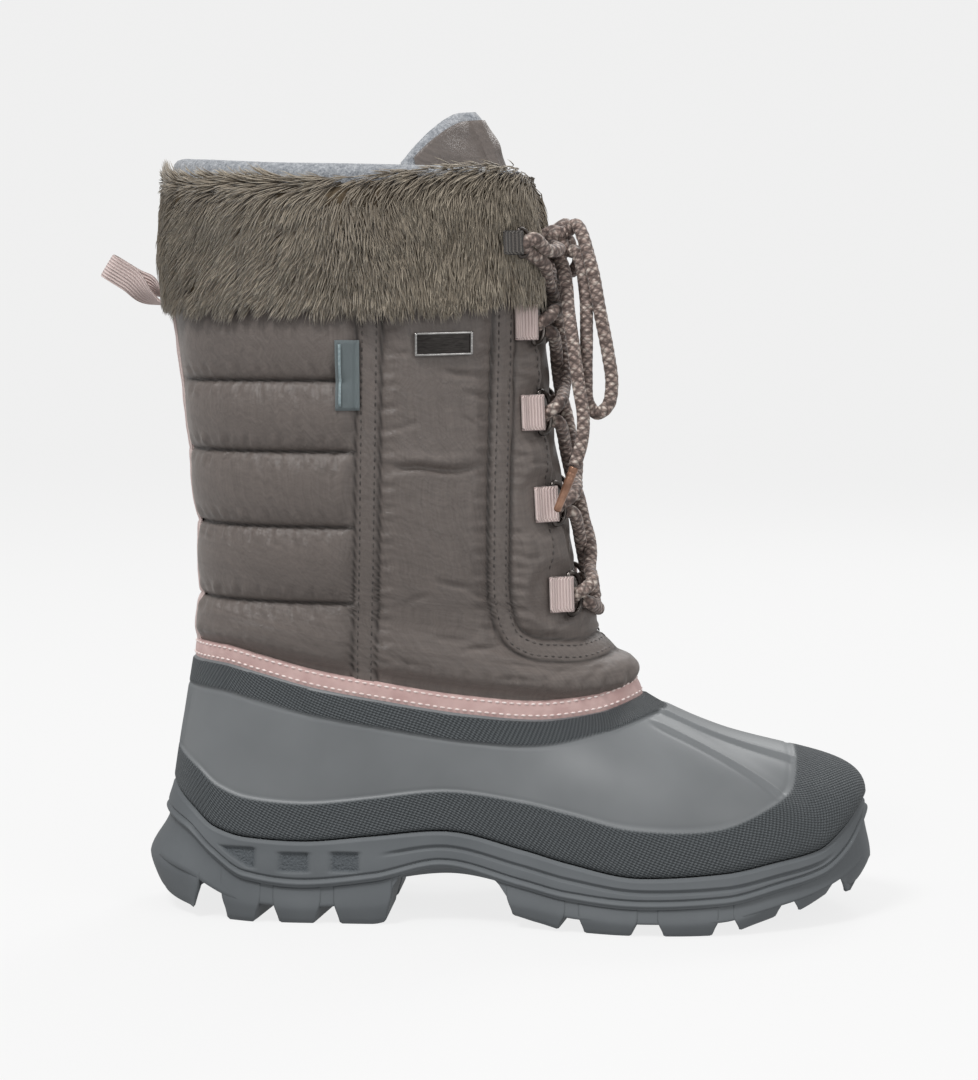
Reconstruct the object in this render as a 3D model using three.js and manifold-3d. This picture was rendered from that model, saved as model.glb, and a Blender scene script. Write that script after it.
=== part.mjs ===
// Snow boot for the right foot: a moulded rubber foot on a lugged sole, a quilted leg with a fur
// cuff, a padded tongue and a round lace through ten rings.
// Millimetres, +Z up. The toe points to +X and the outer side of the foot faces -Y.
// Shapes are worked out from the back of the heel (x = 0) with the floor at z = 0, and the whole
// boot is then moved by ORIGIN.

import * as THREE from 'three';
import { mergeVertices } from 'three/addons/utils/BufferGeometryUtils.js';
import Module from 'manifold-3d';

const wasm = await Module();
wasm.setup();

// ---------------------------------------------------------------- driving dimensions

const ORIGIN = new THREE.Vector3(137, 0, 0); // middle of the boot's length, on the floor
const CLEARANCE = 0.3; // between pieces that touch
const RUBBER_WALL = 2.8; // moulded foot
const BAND_PROUD = 1.0; // toe cap and side band standing out from the moulded foot
const TOPLINE_STEP = 1.6; // rubber outside the leg at the topline
const LEG_WALL = 5.5; // nylon, wadding and fleece
const LEG_TUCK = 9; // depth of the leg inside the rubber foot
const CUFF_DEPTH = 6.2; // fur and its backing
const TONGUE_WALL = 4.6;
const INSOLE_THICKNESS = 4;
const SOLE_CUP_WALL = 5; // rim of the sole around the footbed
const LACE_DIAMETER = 5.2;
const RING_WIRE = 2;
const TAB_HEIGHT = 14;
const TAB_ANGLE = 30; // degrees round from the front of the leg
const RING_HEIGHT = 18.7;
const EYELET_HEIGHTS = [128.5, 164, 199.8, 234.9];
const KEEPER_HEIGHT = 265;
const KEEPER_ANGLE = 39;

const AROUND = 48; // facets round the foot and sole
const LEG_AROUND = 30; // facets round the leg, outside the throat
const THROAT_COLUMNS = 4; // facets across the throat
const SPINE_SHARE = 0.03; // width left to the strip along the middle of the sole and insole

// ---------------------------------------------------------------- tables of the last

const table = (columns, rows) => (
  rows.map((row) => Object.fromEntries(columns.map((name, i) => [name, row[i]])))
);

// Ribs of the moulded foot, from the heel round the outer side to the toe and back.
// x, y: sole outline. angle: where the rib meets the topline, round the leg.
// rise, lean: start of the rib, up and outwards. fall, reach: end of the rib, down and outwards.
// cap: share of the rib under the textured band and toe cap.
const RIBS = table(
  ['place', 'x', 'y', 'angle', 'rise', 'lean', 'fall', 'reach', 'cap'],
  [
    ['heel back', 11, 0, 180, 15, -2.2, 15, 2.6, 0.27],
    ['heel back, outer corner', 22, -27, 151, 17, -1, 18, 2, 0.27],
    ['heel, outer', 48, -37.5, 128, 20, 1, 22, 1.5, 0.23],
    ['heel front, outer', 84, -39, 107, 18, 1, 20, 0.5, 0.25],
    ['waist, outer', 122, -39, 84, 15, 1, 15, 0.5, 0.31],
    ['behind the ball, outer', 160, -44.5, 60, 24, 2, 14, 5, 0.28],
    ['ball, outer', 197, -51, 40, 32, 2, 14, 18, 0.2],
    ['little toe', 232, -48.5, 25, 30, 2, 16, 30, 0.19],
    ['toe corner, outer', 262, -36, 13, 26, 2, 20, 36, 0.3],
    ['toe, outer', 281, -18, 5, 24, 2.5, 25, 38, 0.43],
    ['toe tip', 288.5, 4, -1, 23, 2.5, 26, 38, 0.48],
    ['big toe', 280.5, 27, -7, 24, 2.5, 25, 38, 0.43],
    ['toe corner, inner', 258, 45.5, -16, 27, 2, 20, 36, 0.3],
    ['ball, inner', 222, 55, -29, 32, 2, 16, 28, 0.19],
    ['behind the ball, inner', 186, 51.5, -46, 30, 2, 14, 17, 0.21],
    ['waist front, inner', 150, 41, -66, 24, 1.5, 14, 4, 0.28],
    ['waist, inner', 115, 34.5, -87, 16, 1, 15, -1, 0.31],
    ['heel front, inner', 80, 35.5, -108, 18, 1, 18, -1, 0.25],
    ['heel, inner', 46, 35.5, -130, 20, 1, 22, 1, 0.23],
    ['heel back, inner corner', 21.5, 25.5, -152, 17, -1, 18, 2, 0.27],
  ],
);

// Lines along the side of the sole, by x of the outline: top of the rim, foot of the smooth wall
// above the lugs, widest part of the lugs, and how far each stands out from the outline.
const SIDE_LINES = table(
  ['x', 'rim', 'foot', 'footOut', 'kick', 'kickOut', 'treadOut'],
  [
    [11, 51, 39, 3, 20.5, 11, 6],
    [22, 44, 35, 3, 17, 7.5, 4],
    [32, 36.5, 25.5, 2.2, 10, 4, 1.5],
    [45, 33.2, 17, 2, 7, 3, 1],
    [67, 32.2, 14.4, 2, 6, 3, 1],
    [95, 34.6, 17.2, 2, 7, 3, 1],
    [123, 37.1, 23, 1.5, 12, 2, 1],
    [154, 31, 16.4, 1.8, 9, 2.6, 1],
    [172, 26.5, 12.5, 2, 6, 3, 1.2],
    [200, 22, 10.4, 2.2, 4.5, 3.2, 1.4],
    [232, 23.7, 11.8, 2.2, 5.5, 3.2, 1],
    [252, 27, 16, 2, 10, 3, 0.5],
    [269, 30, 20, 2, 14, 2.8, 0],
    [279, 36.6, 27, 1.5, 18, 3, -1],
    [288.5, 45.5, 40, 0.8, 22, 3.2, -2],
  ],
);

// Heights along the sole: under the lugs, between the lugs, and the footbed.
const SOLE_LINE = table(
  ['x', 'ground', 'base', 'floor'],
  [
    [0, 20, 24, 36],
    [5, 13, 20, 35],
    [14, 7.5, 17, 33],
    [24, 4, 15.5, 31],
    [38, 0, 13, 30],
    [60, 0, 11.5, 29],
    [95, 0, 13, 28],
    [104, 2, 16.5, 27.5],
    [125, 6, 19, 26],
    [148, 5.5, 15.5, 23],
    [160, 3, 12, 20.5],
    [176, 0, 9.4, 17.5],
    [203, 0, 7, 16],
    [228, 0, 7.8, 16.5],
    [245, 4, 10.5, 18.5],
    [260, 7.5, 13.5, 21.5],
    [274, 11.5, 17, 25.5],
    [286, 12.5, 20.5, 29],
    [292, 19, 24, 32],
  ],
);

// Grooves across the tread, from heel to toe; the fourth is the arch.
const GROOVES = table(
  ['from', 'to', 'sweep'],
  [
    [26.5, 34.8, -4],
    [51, 56, 5],
    [75, 80, 5],
    [103, 148, 0],
    [171, 176, 6],
    [199, 206.5, 6],
    [230, 235.5, 6],
    [254.5, 258.5, 7],
    [274.5, 277, 6],
  ],
);

// Height of the rubber topline, by x.
const TOPLINE = table(
  ['x', 'height'],
  [[18, 101.5], [34, 101], [50, 98], [74, 92.5], [98, 88.5], [134, 82.8], [162, 80.3], [182, 82], [200, 87]],
);

// Level sections of the leg: back and front on the centre line, and half its width.
const LEG_SECTIONS = table(
  ['height', 'back', 'front', 'halfWidth'],
  [
    [72, 19.6, 201, 37.5],
    [87, 20, 198.6, 38],
    [93, 20.2, 196.4, 38.5],
    [100, 20.6, 193.4, 39],
    [106, 21, 187.6, 40],
    [113, 21.6, 181.6, 41.5],
    [122, 22.4, 178.2, 43.5],
    [132, 23, 176, 46],
    [148, 22.8, 173.6, 49.5],
    [170, 20.6, 170, 53],
    [200, 17.6, 165.5, 56],
    [228, 14.2, 163.4, 57.8],
    [243, 12.8, 162.6, 58.2],
    [270, 12.6, 160.5, 58.2],
    [300, 13.6, 157, 57.6],
  ],
);
const LEG_NARROWING = 0.1; // the front half of each section is this much narrower

// The throat: half its width in degrees round the leg, by height.
const THROAT = table(
  ['height', 'halfAngle'],
  [[124, 4], [128, 10], [135, 15.5], [145, 19], [160, 20.5], [240, 21], [300, 21.5]],
);

// Top edge of the leg and of the fur cuff, by angle round from the front.
const COLLAR = table(
  ['angle', 'legTop', 'cuffTop', 'cuffBottom'],
  [
    [0, 290, 292, 245.5],
    [42, 291, 294, 245],
    [60, 291, 292, 241],
    [100, 291.5, 287.5, 239.8],
    [145, 294.5, 289, 240],
    [165, 296, 291, 244],
    [180, 296.5, 292, 247],
  ],
);

// The tongue: its top edge and how far it leans back from the front of the leg.
const TONGUE_TOP = table(
  ['angle', 'height'],
  [[0, 318], [14, 317.5], [28, 316.5], [40, 314], [52, 309], [60, 303.5], [68, 296]],
);
const TONGUE_LEAN = table(
  ['height', 'back'],
  [[110, 0], [235, 0], [255, 2], [275, 5], [295, 9.5], [305, 12.5], [318, 19]],
);
const TONGUE_BOTTOM = 112;
const TONGUE_HALF_ANGLE = 68;

// ---------------------------------------------------------------- reading the tables

// Value of a column at a place along a table: a cubic through its rows that never overshoots them.
function along(rows, key, column, at) {
  const last = rows.length - 1;
  if (at <= rows[0][key]) return rows[0][column];
  if (at >= rows[last][key]) return rows[last][column];
  let i = 0;
  while (rows[i + 1][key] < at) i += 1;
  const gradient = (k) => (rows[k + 1][column] - rows[k][column]) / (rows[k + 1][key] - rows[k][key]);
  const slope = (k) => {
    if (k === 0) return gradient(0);
    if (k === last) return gradient(last - 1);
    const before = gradient(k - 1);
    const after = gradient(k);
    return before * after <= 0 ? 0 : (2 * before * after) / (before + after);
  };
  const span = rows[i + 1][key] - rows[i][key];
  return hermite(rows[i][column], rows[i + 1][column], slope(i) * span, slope(i + 1) * span,
    (at - rows[i][key]) / span);
}

function hermite(from, to, slopeFrom, slopeTo, t) {
  const t2 = t * t;
  const t3 = t2 * t;
  return from * (2 * t3 - 3 * t2 + 1) + to * (3 * t2 - 2 * t3)
    + slopeFrom * (t3 - 2 * t2 + t) + slopeTo * (t3 - t2);
}

// Value of a rib column at a turn (0 to 1) round the foot: a closed cubic through the ribs.
function aroundRibs(column, turn) {
  const count = RIBS.length;
  const place = turn * count;
  const i = Math.floor(place);
  const value = (k) => {
    const laps = Math.floor(k / count);
    return RIBS[k - laps * count][column] - (column === 'angle' ? 360 * laps : 0);
  };
  const slope = (k) => (value(k + 1) - value(k - 1)) / 2;
  return hermite(value(i), value(i + 1), slope(i), slope(i + 1), place - i);
}

const side = (x, column) => along(SIDE_LINES, 'x', column, x);
const soleHeight = (x, column) => along(SOLE_LINE, 'x', column, x);
const degrees = (value) => THREE.MathUtils.degToRad(value);
const lerp = THREE.MathUtils.lerp;
const smooth = THREE.MathUtils.smoothstep;

// ---------------------------------------------------------------- the last's surfaces

// Point of the sole outline at a turn round it, moved outwards in plan.
function outline(turn, outward = 0) {
  const step = 0.002;
  const dx = aroundRibs('x', turn + step) - aroundRibs('x', turn - step);
  const dy = aroundRibs('y', turn + step) - aroundRibs('y', turn - step);
  const size = Math.hypot(dx, dy);
  return new THREE.Vector2(
    aroundRibs('x', turn) + (outward * dy) / size,
    aroundRibs('y', turn) - (outward * dx) / size,
  );
}

// Point of the leg's outer surface: an egg-shaped level section, 0 degrees at the front, positive
// angles on the outer side.
function leg(angle, height, outward = 0) {
  const back = along(LEG_SECTIONS, 'height', 'back', height);
  const front = along(LEG_SECTIONS, 'height', 'front', height);
  const halfWidth = along(LEG_SECTIONS, 'height', 'halfWidth', height);
  const halfLength = (front - back) / 2;
  const c = Math.cos(degrees(angle));
  const s = Math.sin(degrees(angle));
  const narrowing = 1 - LEG_NARROWING * c;
  const normal = new THREE.Vector2(halfWidth * c, -halfLength * s).normalize();
  return new THREE.Vector3(
    back + halfLength * (1 + c) + outward * normal.x,
    -halfWidth * s * narrowing + outward * normal.y,
    height,
  );
}

// Point where a rib meets the topline.
function toplinePoint(angle) {
  let height = 90;
  for (let pass = 0; pass < 4; pass += 1) {
    height = along(TOPLINE, 'x', 'height', leg(angle, height, TOPLINE_STEP).x);
  }
  return leg(angle, height, TOPLINE_STEP);
}

// Point of the moulded foot's plain surface; t runs up a rib from the rim to the topline.
function foot(turn, t) {
  const start2 = outline(turn);
  const leaned = outline(turn, aroundRibs('lean', turn));
  const rim = side(start2.x, 'rim') + 2 * CLEARANCE;
  const end = toplinePoint(aroundRibs('angle', turn));
  const away = new THREE.Vector2(start2.x - end.x, start2.y - end.y).normalize();
  const reach = aroundRibs('reach', turn);
  const curve = new THREE.CubicBezierCurve3(
    new THREE.Vector3(start2.x, start2.y, rim),
    new THREE.Vector3(leaned.x, leaned.y, rim + aroundRibs('rise', turn)),
    new THREE.Vector3(end.x + away.x * reach, end.y + away.y * reach, end.z - aroundRibs('fall', turn)),
    end,
  );
  return curve.getPoint(t);
}

// The same surface moved along its normal; level at the rim and at the topline.
function footOffset(turn, t, outward) {
  const step = 0.004;
  const low = Math.max(t - step, 0);
  const high = Math.min(t + step, 1);
  const across = foot(turn + step, t).sub(foot(turn - step, t));
  const up = foot(turn, high).sub(foot(turn, low));
  const normal = across.cross(up);
  if (t === 0 || t === 1) normal.z = 0;
  return foot(turn, t).addScaledVector(normal.normalize(), outward);
}

// ---------------------------------------------------------------- building closed bodies

function geometryFrom(points, triangles) {
  const geometry = new THREE.BufferGeometry();
  geometry.setAttribute('position', new THREE.Float32BufferAttribute(points.flatMap((p) => [p.x, p.y, p.z]), 3));
  geometry.setIndex(triangles.flat());
  const merged = mergeVertices(geometry, 1e-4);
  if (signedVolume(merged) < 0) {
    const index = merged.index.array;
    for (let i = 0; i < index.length; i += 3) [index[i], index[i + 1]] = [index[i + 1], index[i]];
  }
  merged.computeVertexNormals();
  return merged;
}

function signedVolume(geometry) {
  const position = geometry.attributes.position;
  const index = geometry.index.array;
  const corner = (i) => new THREE.Vector3().fromBufferAttribute(position, index[i]);
  let volume = 0;
  for (let i = 0; i < index.length; i += 3) volume += corner(i).dot(corner(i + 1).cross(corner(i + 2))) / 6;
  return volume;
}

// Skin over rings that follow each other; looped joins the last to the first, otherwise each end
// is closed flat in plan.
function bodyFromRings(rings, looped = false) {
  const count = rings[0].length;
  const triangles = [];
  const bands = looped ? rings.length : rings.length - 1;
  for (let r = 0; r < bands; r += 1) {
    const lower = r * count;
    const upper = ((r + 1) % rings.length) * count;
    for (let i = 0; i < count; i += 1) {
      const next = (i + 1) % count;
      triangles.push([lower + i, lower + next, upper + next], [lower + i, upper + next, upper + i]);
    }
  }
  if (!looped) {
    const cap = (ring, start, flip) => {
      const plan = ring.map((p) => new THREE.Vector2(p.x, p.y));
      const reverse = THREE.ShapeUtils.isClockWise(plan);
      THREE.ShapeUtils.triangulateShape(plan, []).forEach(([a, b, c]) => {
        const corners = [start + a, start + b, start + c];
        triangles.push(flip !== reverse ? corners.reverse() : corners);
      });
    };
    const first = rings[0];
    const plan = first.map((p) => new THREE.Vector2(p.x, p.y));
    const clockwise = THREE.ShapeUtils.isClockWise(plan);
    cap(first, 0, !clockwise);
    cap(rings[rings.length - 1], (rings.length - 1) * count, clockwise);
  }
  return geometryFrom(rings.flat(), triangles);
}

// Thick sheet: an outer and an inner grid of points, joined round every edge of the kept cells.
// columnsLoop joins the last column to the first.
function bodyFromSheet(outer, inner, keep, columnsLoop) {
  const columns = outer.length;
  const rows = outer[0].length;
  const cells = columnsLoop ? columns : columns - 1;
  const kept = (i, j) => {
    if (j < 0 || j >= rows - 1) return false;
    if (!columnsLoop && (i < 0 || i >= cells)) return false;
    return keep((i + cells) % cells, j);
  };
  const at = (i, j) => (i % columns) * rows + j;
  const within = columns * rows;
  const triangles = [];
  const quad = (a, b, c, d) => triangles.push([a, b, c], [a, c, d]);
  for (let i = 0; i < cells; i += 1) {
    for (let j = 0; j < rows - 1; j += 1) {
      if (!kept(i, j)) continue;
      const corners = [at(i, j), at(i + 1, j), at(i + 1, j + 1), at(i, j + 1)];
      const [a, b, c, d] = corners;
      quad(a, b, c, d);
      quad(d + within, c + within, b + within, a + within);
      if (!kept(i, j - 1)) quad(b, a, a + within, b + within);
      if (!kept(i + 1, j)) quad(c, b, b + within, c + within);
      if (!kept(i, j + 1)) quad(d, c, c + within, d + within);
      if (!kept(i - 1, j)) quad(a, d, d + within, a + within);
    }
  }
  return compact([...outer.flat(), ...inner.flat()], triangles);
}

// Drops the points that no triangle uses.
function compact(points, triangles) {
  const places = new Map();
  const kept = [];
  const moved = triangles.map((triangle) => triangle.map((i) => {
    if (!places.has(i)) {
      places.set(i, kept.length);
      kept.push(points[i]);
    }
    return places.get(i);
  }));
  return geometryFrom(kept, moved);
}

const range = (count) => Array.from({ length: count }, (_, i) => i);
const turns = range(AROUND).map((i) => i / AROUND);

function toSolid(geometry) {
  const bare = geometry.clone();
  bare.deleteAttribute('normal');
  bare.deleteAttribute('uv');
  const merged = mergeVertices(bare, 1e-4);
  return new wasm.Manifold(new wasm.Mesh({
    numProp: 3,
    vertProperties: new Float32Array(merged.attributes.position.array),
    triVerts: new Uint32Array(merged.index.array),
  }));
}

function toGeometry(solid) {
  const mesh = solid.getMesh();
  const geometry = new THREE.BufferGeometry();
  geometry.setAttribute('position', new THREE.BufferAttribute(mesh.vertProperties, 3));
  geometry.setIndex(new THREE.BufferAttribute(mesh.triVerts, 1));
  geometry.computeVertexNormals();
  return geometry;
}

// ---------------------------------------------------------------- sole

// A ring of the sole outline, moved outwards in plan, with its height from a function of x.
function soleRing(outward, heightAt) {
  return turns.map((turn) => {
    const edge = outline(turn);
    const point = outline(turn, typeof outward === 'function' ? outward(edge.x) : outward);
    return new THREE.Vector3(point.x, point.y, heightAt(edge.x, point.x));
  });
}

// A ring drawn in towards the spine of the sole; share is 1 at the edge and 0 on the spine.
// The last ring before a flat end is drawn in to SPINE_SHARE, so that the end is a narrow strip.
function drawnIn(ring, share, heightAt) {
  const spine = { from: 42, to: 252, y: 2 };
  return ring.map((p) => {
    const x = lerp(THREE.MathUtils.clamp(p.x, spine.from, spine.to), p.x, share);
    return new THREE.Vector3(x, lerp(spine.y, p.y, share), heightAt(x));
  });
}

// Edge of the footbed, inside the rim of the sole.
const footbedRing = () => soleRing(-SOLE_CUP_WALL - 1, (edgeX, x) => soleHeight(x, 'floor'));

function soleBody() {
  const floorAt = (x) => soleHeight(x, 'floor');
  const baseAt = (x) => soleHeight(x, 'base');
  const footbed = footbedRing();
  const base = soleRing((x) => side(x, 'treadOut'), (edgeX, x) => baseAt(x));
  return bodyFromRings([
    drawnIn(footbed, SPINE_SHARE, floorAt),
    drawnIn(footbed, 0.5, floorAt),
    footbed,
    soleRing(-SOLE_CUP_WALL, (x) => side(x, 'rim')),
    soleRing(0.2, (x) => side(x, 'rim')),
    soleRing((x) => side(x, 'footOut') * 0.6, (x) => lerp(side(x, 'rim'), side(x, 'foot'), 0.5)),
    soleRing((x) => side(x, 'footOut'), (x) => side(x, 'foot')),
    base,
    drawnIn(base, 0.5, baseAt),
    drawnIn(base, SPINE_SHARE, baseAt),
  ]);
}

// The lugs before the grooves are cut.
function treadSlab() {
  const groundAt = (x) => soleHeight(x, 'ground');
  const buried = 2.5;
  const inside = (x) => side(x, 'treadOut') - 2 * buried;
  const top = soleRing(inside, (edgeX, x) => soleHeight(x, 'base') + buried);
  const tread = soleRing((x) => side(x, 'treadOut'), (edgeX, x) => groundAt(x));
  return bodyFromRings([
    drawnIn(top, 0.4, (x) => soleHeight(x, 'base') + buried),
    top,
    soleRing((x) => side(x, 'footOut') + 0.4, (x) => side(x, 'foot')),
    soleRing((x) => side(x, 'kickOut'), (x) => side(x, 'kick')),
    tread,
    drawnIn(tread, SPINE_SHARE, groundAt),
  ]);
}

// A groove right across the sole, bent forward in the middle by its sweep.
function grooveCutter({ from, to, sweep }) {
  const halfWidth = 80;
  const depth = 60;
  const shape = new THREE.Shape([
    new THREE.Vector2(from, -halfWidth),
    new THREE.Vector2(to, -halfWidth),
    new THREE.Vector2(to + sweep, 0),
    new THREE.Vector2(to, halfWidth),
    new THREE.Vector2(from, halfWidth),
    new THREE.Vector2(from + sweep, 0),
  ]);
  return new THREE.ExtrudeGeometry(shape, { depth, bevelEnabled: false }).translate(0, 0, -depth / 2);
}

// The channel that parts the outer lugs from the inner ones.
function channelCutter(from, to) {
  const width = 6;
  const depth = 60;
  return new THREE.BoxGeometry(to - from, width, depth).translate((from + to) / 2, 2, 0);
}

function outsole() {
  const channels = [channelCutter(42, 96), channelCutter(154, 268)];
  const cutters = [...GROOVES.map(grooveCutter), ...channels].map(toSolid);
  const tread = cutters.reduce((solid, cutter) => solid.subtract(cutter), toSolid(treadSlab()));
  return toGeometry(toSolid(soleBody()).add(tread));
}

function insole() {
  const lower = (x) => soleHeight(x, 'floor') + 6 * CLEARANCE;
  const upper = (x) => lower(x) + INSOLE_THICKNESS;
  const footbed = footbedRing();
  return bodyFromRings([
    ...[SPINE_SHARE, 0.5, 0.95].map((share) => drawnIn(footbed, share, lower)),
    ...[0.95, 0.5, SPINE_SHARE].map((share) => drawnIn(footbed, share, upper)),
  ]);
}

// ---------------------------------------------------------------- rubber foot

// Share of the rib at each row: the band stands proud up to its edge, then steps back.
function footRows(turn) {
  const cap = aroundRibs('cap', turn);
  const step = 0.03;
  const above = [0.25, 0.5, 0.75, 1].map((share) => lerp(cap + step, 1, share));
  return [
    { t: 0, proud: BAND_PROUD },
    { t: cap * 0.5, proud: BAND_PROUD },
    { t: cap, proud: BAND_PROUD },
    { t: cap + step, proud: 0 },
    ...above.map((t) => ({ t, proud: 0 })),
  ];
}

function rubberFoot() {
  const outer = turns.map((turn) => footRows(turn).map(({ t, proud }) => footOffset(turn, t, proud)));
  const inner = turns.map((turn) => footRows(turn).map(({ t }) => footOffset(turn, t, -RUBBER_WALL)));
  return bodyFromSheet(outer, inner, () => true, true);
}

// ---------------------------------------------------------------- leg, cuff and tongue

const collarHeight = (angle, column) => {
  const folded = Math.abs(((angle + 180) % 360 + 360) % 360 - 180);
  return along(COLLAR, 'angle', column, folded);
};
const throatAngle = (height) => along(THROAT, 'height', 'halfAngle', height);

// Angle of a leg column at a height: a few columns across the throat, the rest round the leg.
function columnAngle(column, height) {
  const half = throatAngle(height);
  if (column <= THROAT_COLUMNS) return lerp(-half, half, column / THROAT_COLUMNS);
  return lerp(half, 360 - half, (column - THROAT_COLUMNS) / LEG_AROUND);
}

// Heights of the leg's rows above its lower edge, up to the collar.
// The first two rows lie inside the rubber foot.
const LEG_ROWS = [
  { above: -LEG_TUCK, share: 0, inside: true },
  { above: 1.5, share: 0, inside: true },
  ...[0.03, 0.09, 0.15, 0.22, 0.34, 0.48, 0.64, 0.82, 1].map((share) => ({ above: 0, share })),
];
const THROAT_ROW = 5; // the throat opens above this row

function legHeight(column, { above, share }) {
  const guess = columnAngle(column, 150);
  return lerp(toplinePoint(guess).z + above, collarHeight(guess, 'legTop'), share);
}

function shaft() {
  const columns = range(THROAT_COLUMNS + LEG_AROUND);
  const tucked = TOPLINE_STEP - RUBBER_WALL - 4 * CLEARANCE;
  const grid = (outward) => columns.map((column) => LEG_ROWS.map((row) => {
    const height = legHeight(column, row);
    return leg(columnAngle(column, height), height, outward + (row.inside ? tucked : 0));
  }));
  const keep = (column, row) => !(column < THROAT_COLUMNS && row >= THROAT_ROW);
  return bodyFromSheet(grid(0), grid(-LEG_WALL), keep, true);
}

// Fur cuff round the leg, open at the throat like the leg.
const CUFF_PROFILE = table(
  ['share', 'depth'],
  [[0, 0.5], [0.1, 0.88], [0.3, 1], [0.6, 1], [0.85, 0.9], [0.95, 0.72], [1, 0.45]],
);

function furCuff() {
  const ends = [THROAT_COLUMNS, THROAT_COLUMNS + LEG_AROUND];
  const columns = range(LEG_AROUND + 1).map((i) => i + THROAT_COLUMNS);
  const grid = (outwardAt) => columns.map((column) => CUFF_PROFILE.map((row) => {
    const guess = columnAngle(column, 265);
    const bottom = collarHeight(guess, 'cuffBottom');
    const height = lerp(bottom, collarHeight(guess, 'cuffTop'), row.share);
    const taper = ends.includes(column) ? 0.6 : 1;
    return leg(columnAngle(column, height), height, outwardAt(row.depth * taper));
  }));
  return bodyFromSheet(grid((depth) => depth * CUFF_DEPTH), grid(() => CLEARANCE), () => true, false);
}

// Tongue columns: shares of the throat in the middle, then shares of the way to the side edges.
const TONGUE_COLUMNS = [-1.9, -1.6, -1.35, -1.12, -0.92, -0.6, -0.3, 0, 0.3, 0.6, 0.92, 1.12, 1.35, 1.6, 1.9];
const TONGUE_ROWS = [0, 0.1, 0.18, 0.34, 0.5, 0.66, 0.78, 0.9, 1];
const TONGUE_SUNK = 3; // tongue behind the leg's surface inside the throat

function tongueAngle(column, height) {
  const half = throatAngle(height);
  if (Math.abs(column) <= 1) return column * half;
  return Math.sign(column) * lerp(half, TONGUE_HALF_ANGLE, (Math.abs(column) - 1) / 0.9);
}

// How far the tongue's front lies behind the leg's surface.
function tongueDepth(column, height) {
  const behindLeg = LEG_WALL + 5 * CLEARANCE;
  const inThroat = (1 - smooth(Math.abs(column), 0.6, 0.92)) * smooth(height, 128, 142);
  return lerp(behindLeg, TONGUE_SUNK, inThroat) + along(TONGUE_LEAN, 'height', 'back', height);
}

function tongue() {
  const grid = (thickness) => TONGUE_COLUMNS.map((column) => TONGUE_ROWS.map((share) => {
    const edge = along(TONGUE_TOP, 'angle', 'height', Math.abs(tongueAngle(column, 300)));
    const height = lerp(TONGUE_BOTTOM, edge, share);
    return leg(tongueAngle(column, height), height, -tongueDepth(column, height) - thickness);
  }));
  return bodyFromSheet(grid(0), grid(TONGUE_WALL), () => true, false);
}

// ---------------------------------------------------------------- pull loop

// A folded tape at the back seam: both ends lie flat on the leg, one over the other, and the tape
// turns on edge towards the fold.
const PULL_LOOP = {
  width: 10, thickness: 1.2, opening: 5.4, rootX: 11.2, rootZ: 241.6, tipX: -12.5, tipZ: 256.2,
};

function pullLoop() {
  const { width, thickness, opening, rootX, rootZ, tipX, tipZ } = PULL_LOOP;
  const legSteps = 16;
  const foldSteps = 4;
  const out = new THREE.Vector3(tipX - rootX, 0, tipZ - rootZ).normalize();
  const across = new THREE.Vector3(0, 1, 0);
  const upright = new THREE.Vector3().crossVectors(out, across);
  const section = (share, foldAngle) => {
    const twist = degrees(90) * smooth(share, 0.05, 0.75);
    const wide = across.clone().multiplyScalar(Math.cos(twist)).addScaledVector(upright, Math.sin(twist));
    const apart = upright.clone().multiplyScalar(Math.cos(twist)).addScaledVector(across, -Math.sin(twist));
    const spread = lerp(0.3, 1, smooth(share, 0, 0.6)) * (opening + thickness) / 2;
    const normal = apart.clone().multiplyScalar(Math.cos(foldAngle)).addScaledVector(out, Math.sin(foldAngle));
    const centre = new THREE.Vector3(lerp(rootX, tipX, share), 0, lerp(rootZ, tipZ, share))
      .addScaledVector(normal, spread);
    return [[-1, -1], [1, -1], [1, 1], [-1, 1]].map(([a, b]) => (
      centre.clone().addScaledVector(wide, a * width / 2).addScaledVector(normal, b * thickness / 2)
    ));
  };
  const sections = [
    ...range(legSteps).map((i) => section(i / legSteps, 0)),
    ...range(foldSteps + 1).map((i) => section(1, Math.PI * i / foldSteps)),
    ...range(legSteps).map((i) => section((legSteps - 1 - i) / legSteps, Math.PI)),
  ];
  return bodyFromSections(sections);
}

// Skin over sections along a path, with a flat fan over each end.
function bodyFromSections(sections) {
  const count = sections[0].length;
  const triangles = [];
  for (let r = 0; r < sections.length - 1; r += 1) {
    for (let i = 0; i < count; i += 1) {
      const next = (i + 1) % count;
      const lower = r * count;
      const upper = lower + count;
      triangles.push([lower + i, lower + next, upper + next], [lower + i, upper + next, upper + i]);
    }
  }
  const last = (sections.length - 1) * count;
  for (let i = 1; i < count - 1; i += 1) {
    triangles.push([0, i + 1, i], [last, last + i, last + i + 1]);
  }
  return geometryFrom(sections.flat(), triangles);
}

// ---------------------------------------------------------------- rings and their tabs

// Frame on the leg's surface: x towards the front, z outwards.
function surfaceFrame(sideSign, angle, height, outward) {
  const at = (a, h) => leg(sideSign * a, h, outward);
  const forward = at(angle - 1, height).sub(at(angle + 1, height)).normalize();
  const up = at(angle, height + 1).sub(at(angle, height - 1)).multiplyScalar(sideSign).normalize();
  const out = new THREE.Vector3().crossVectors(forward, up).normalize();
  const matrix = new THREE.Matrix4().makeBasis(forward, new THREE.Vector3().crossVectors(out, forward), out);
  return matrix.setPosition(at(angle, height));
}

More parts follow.
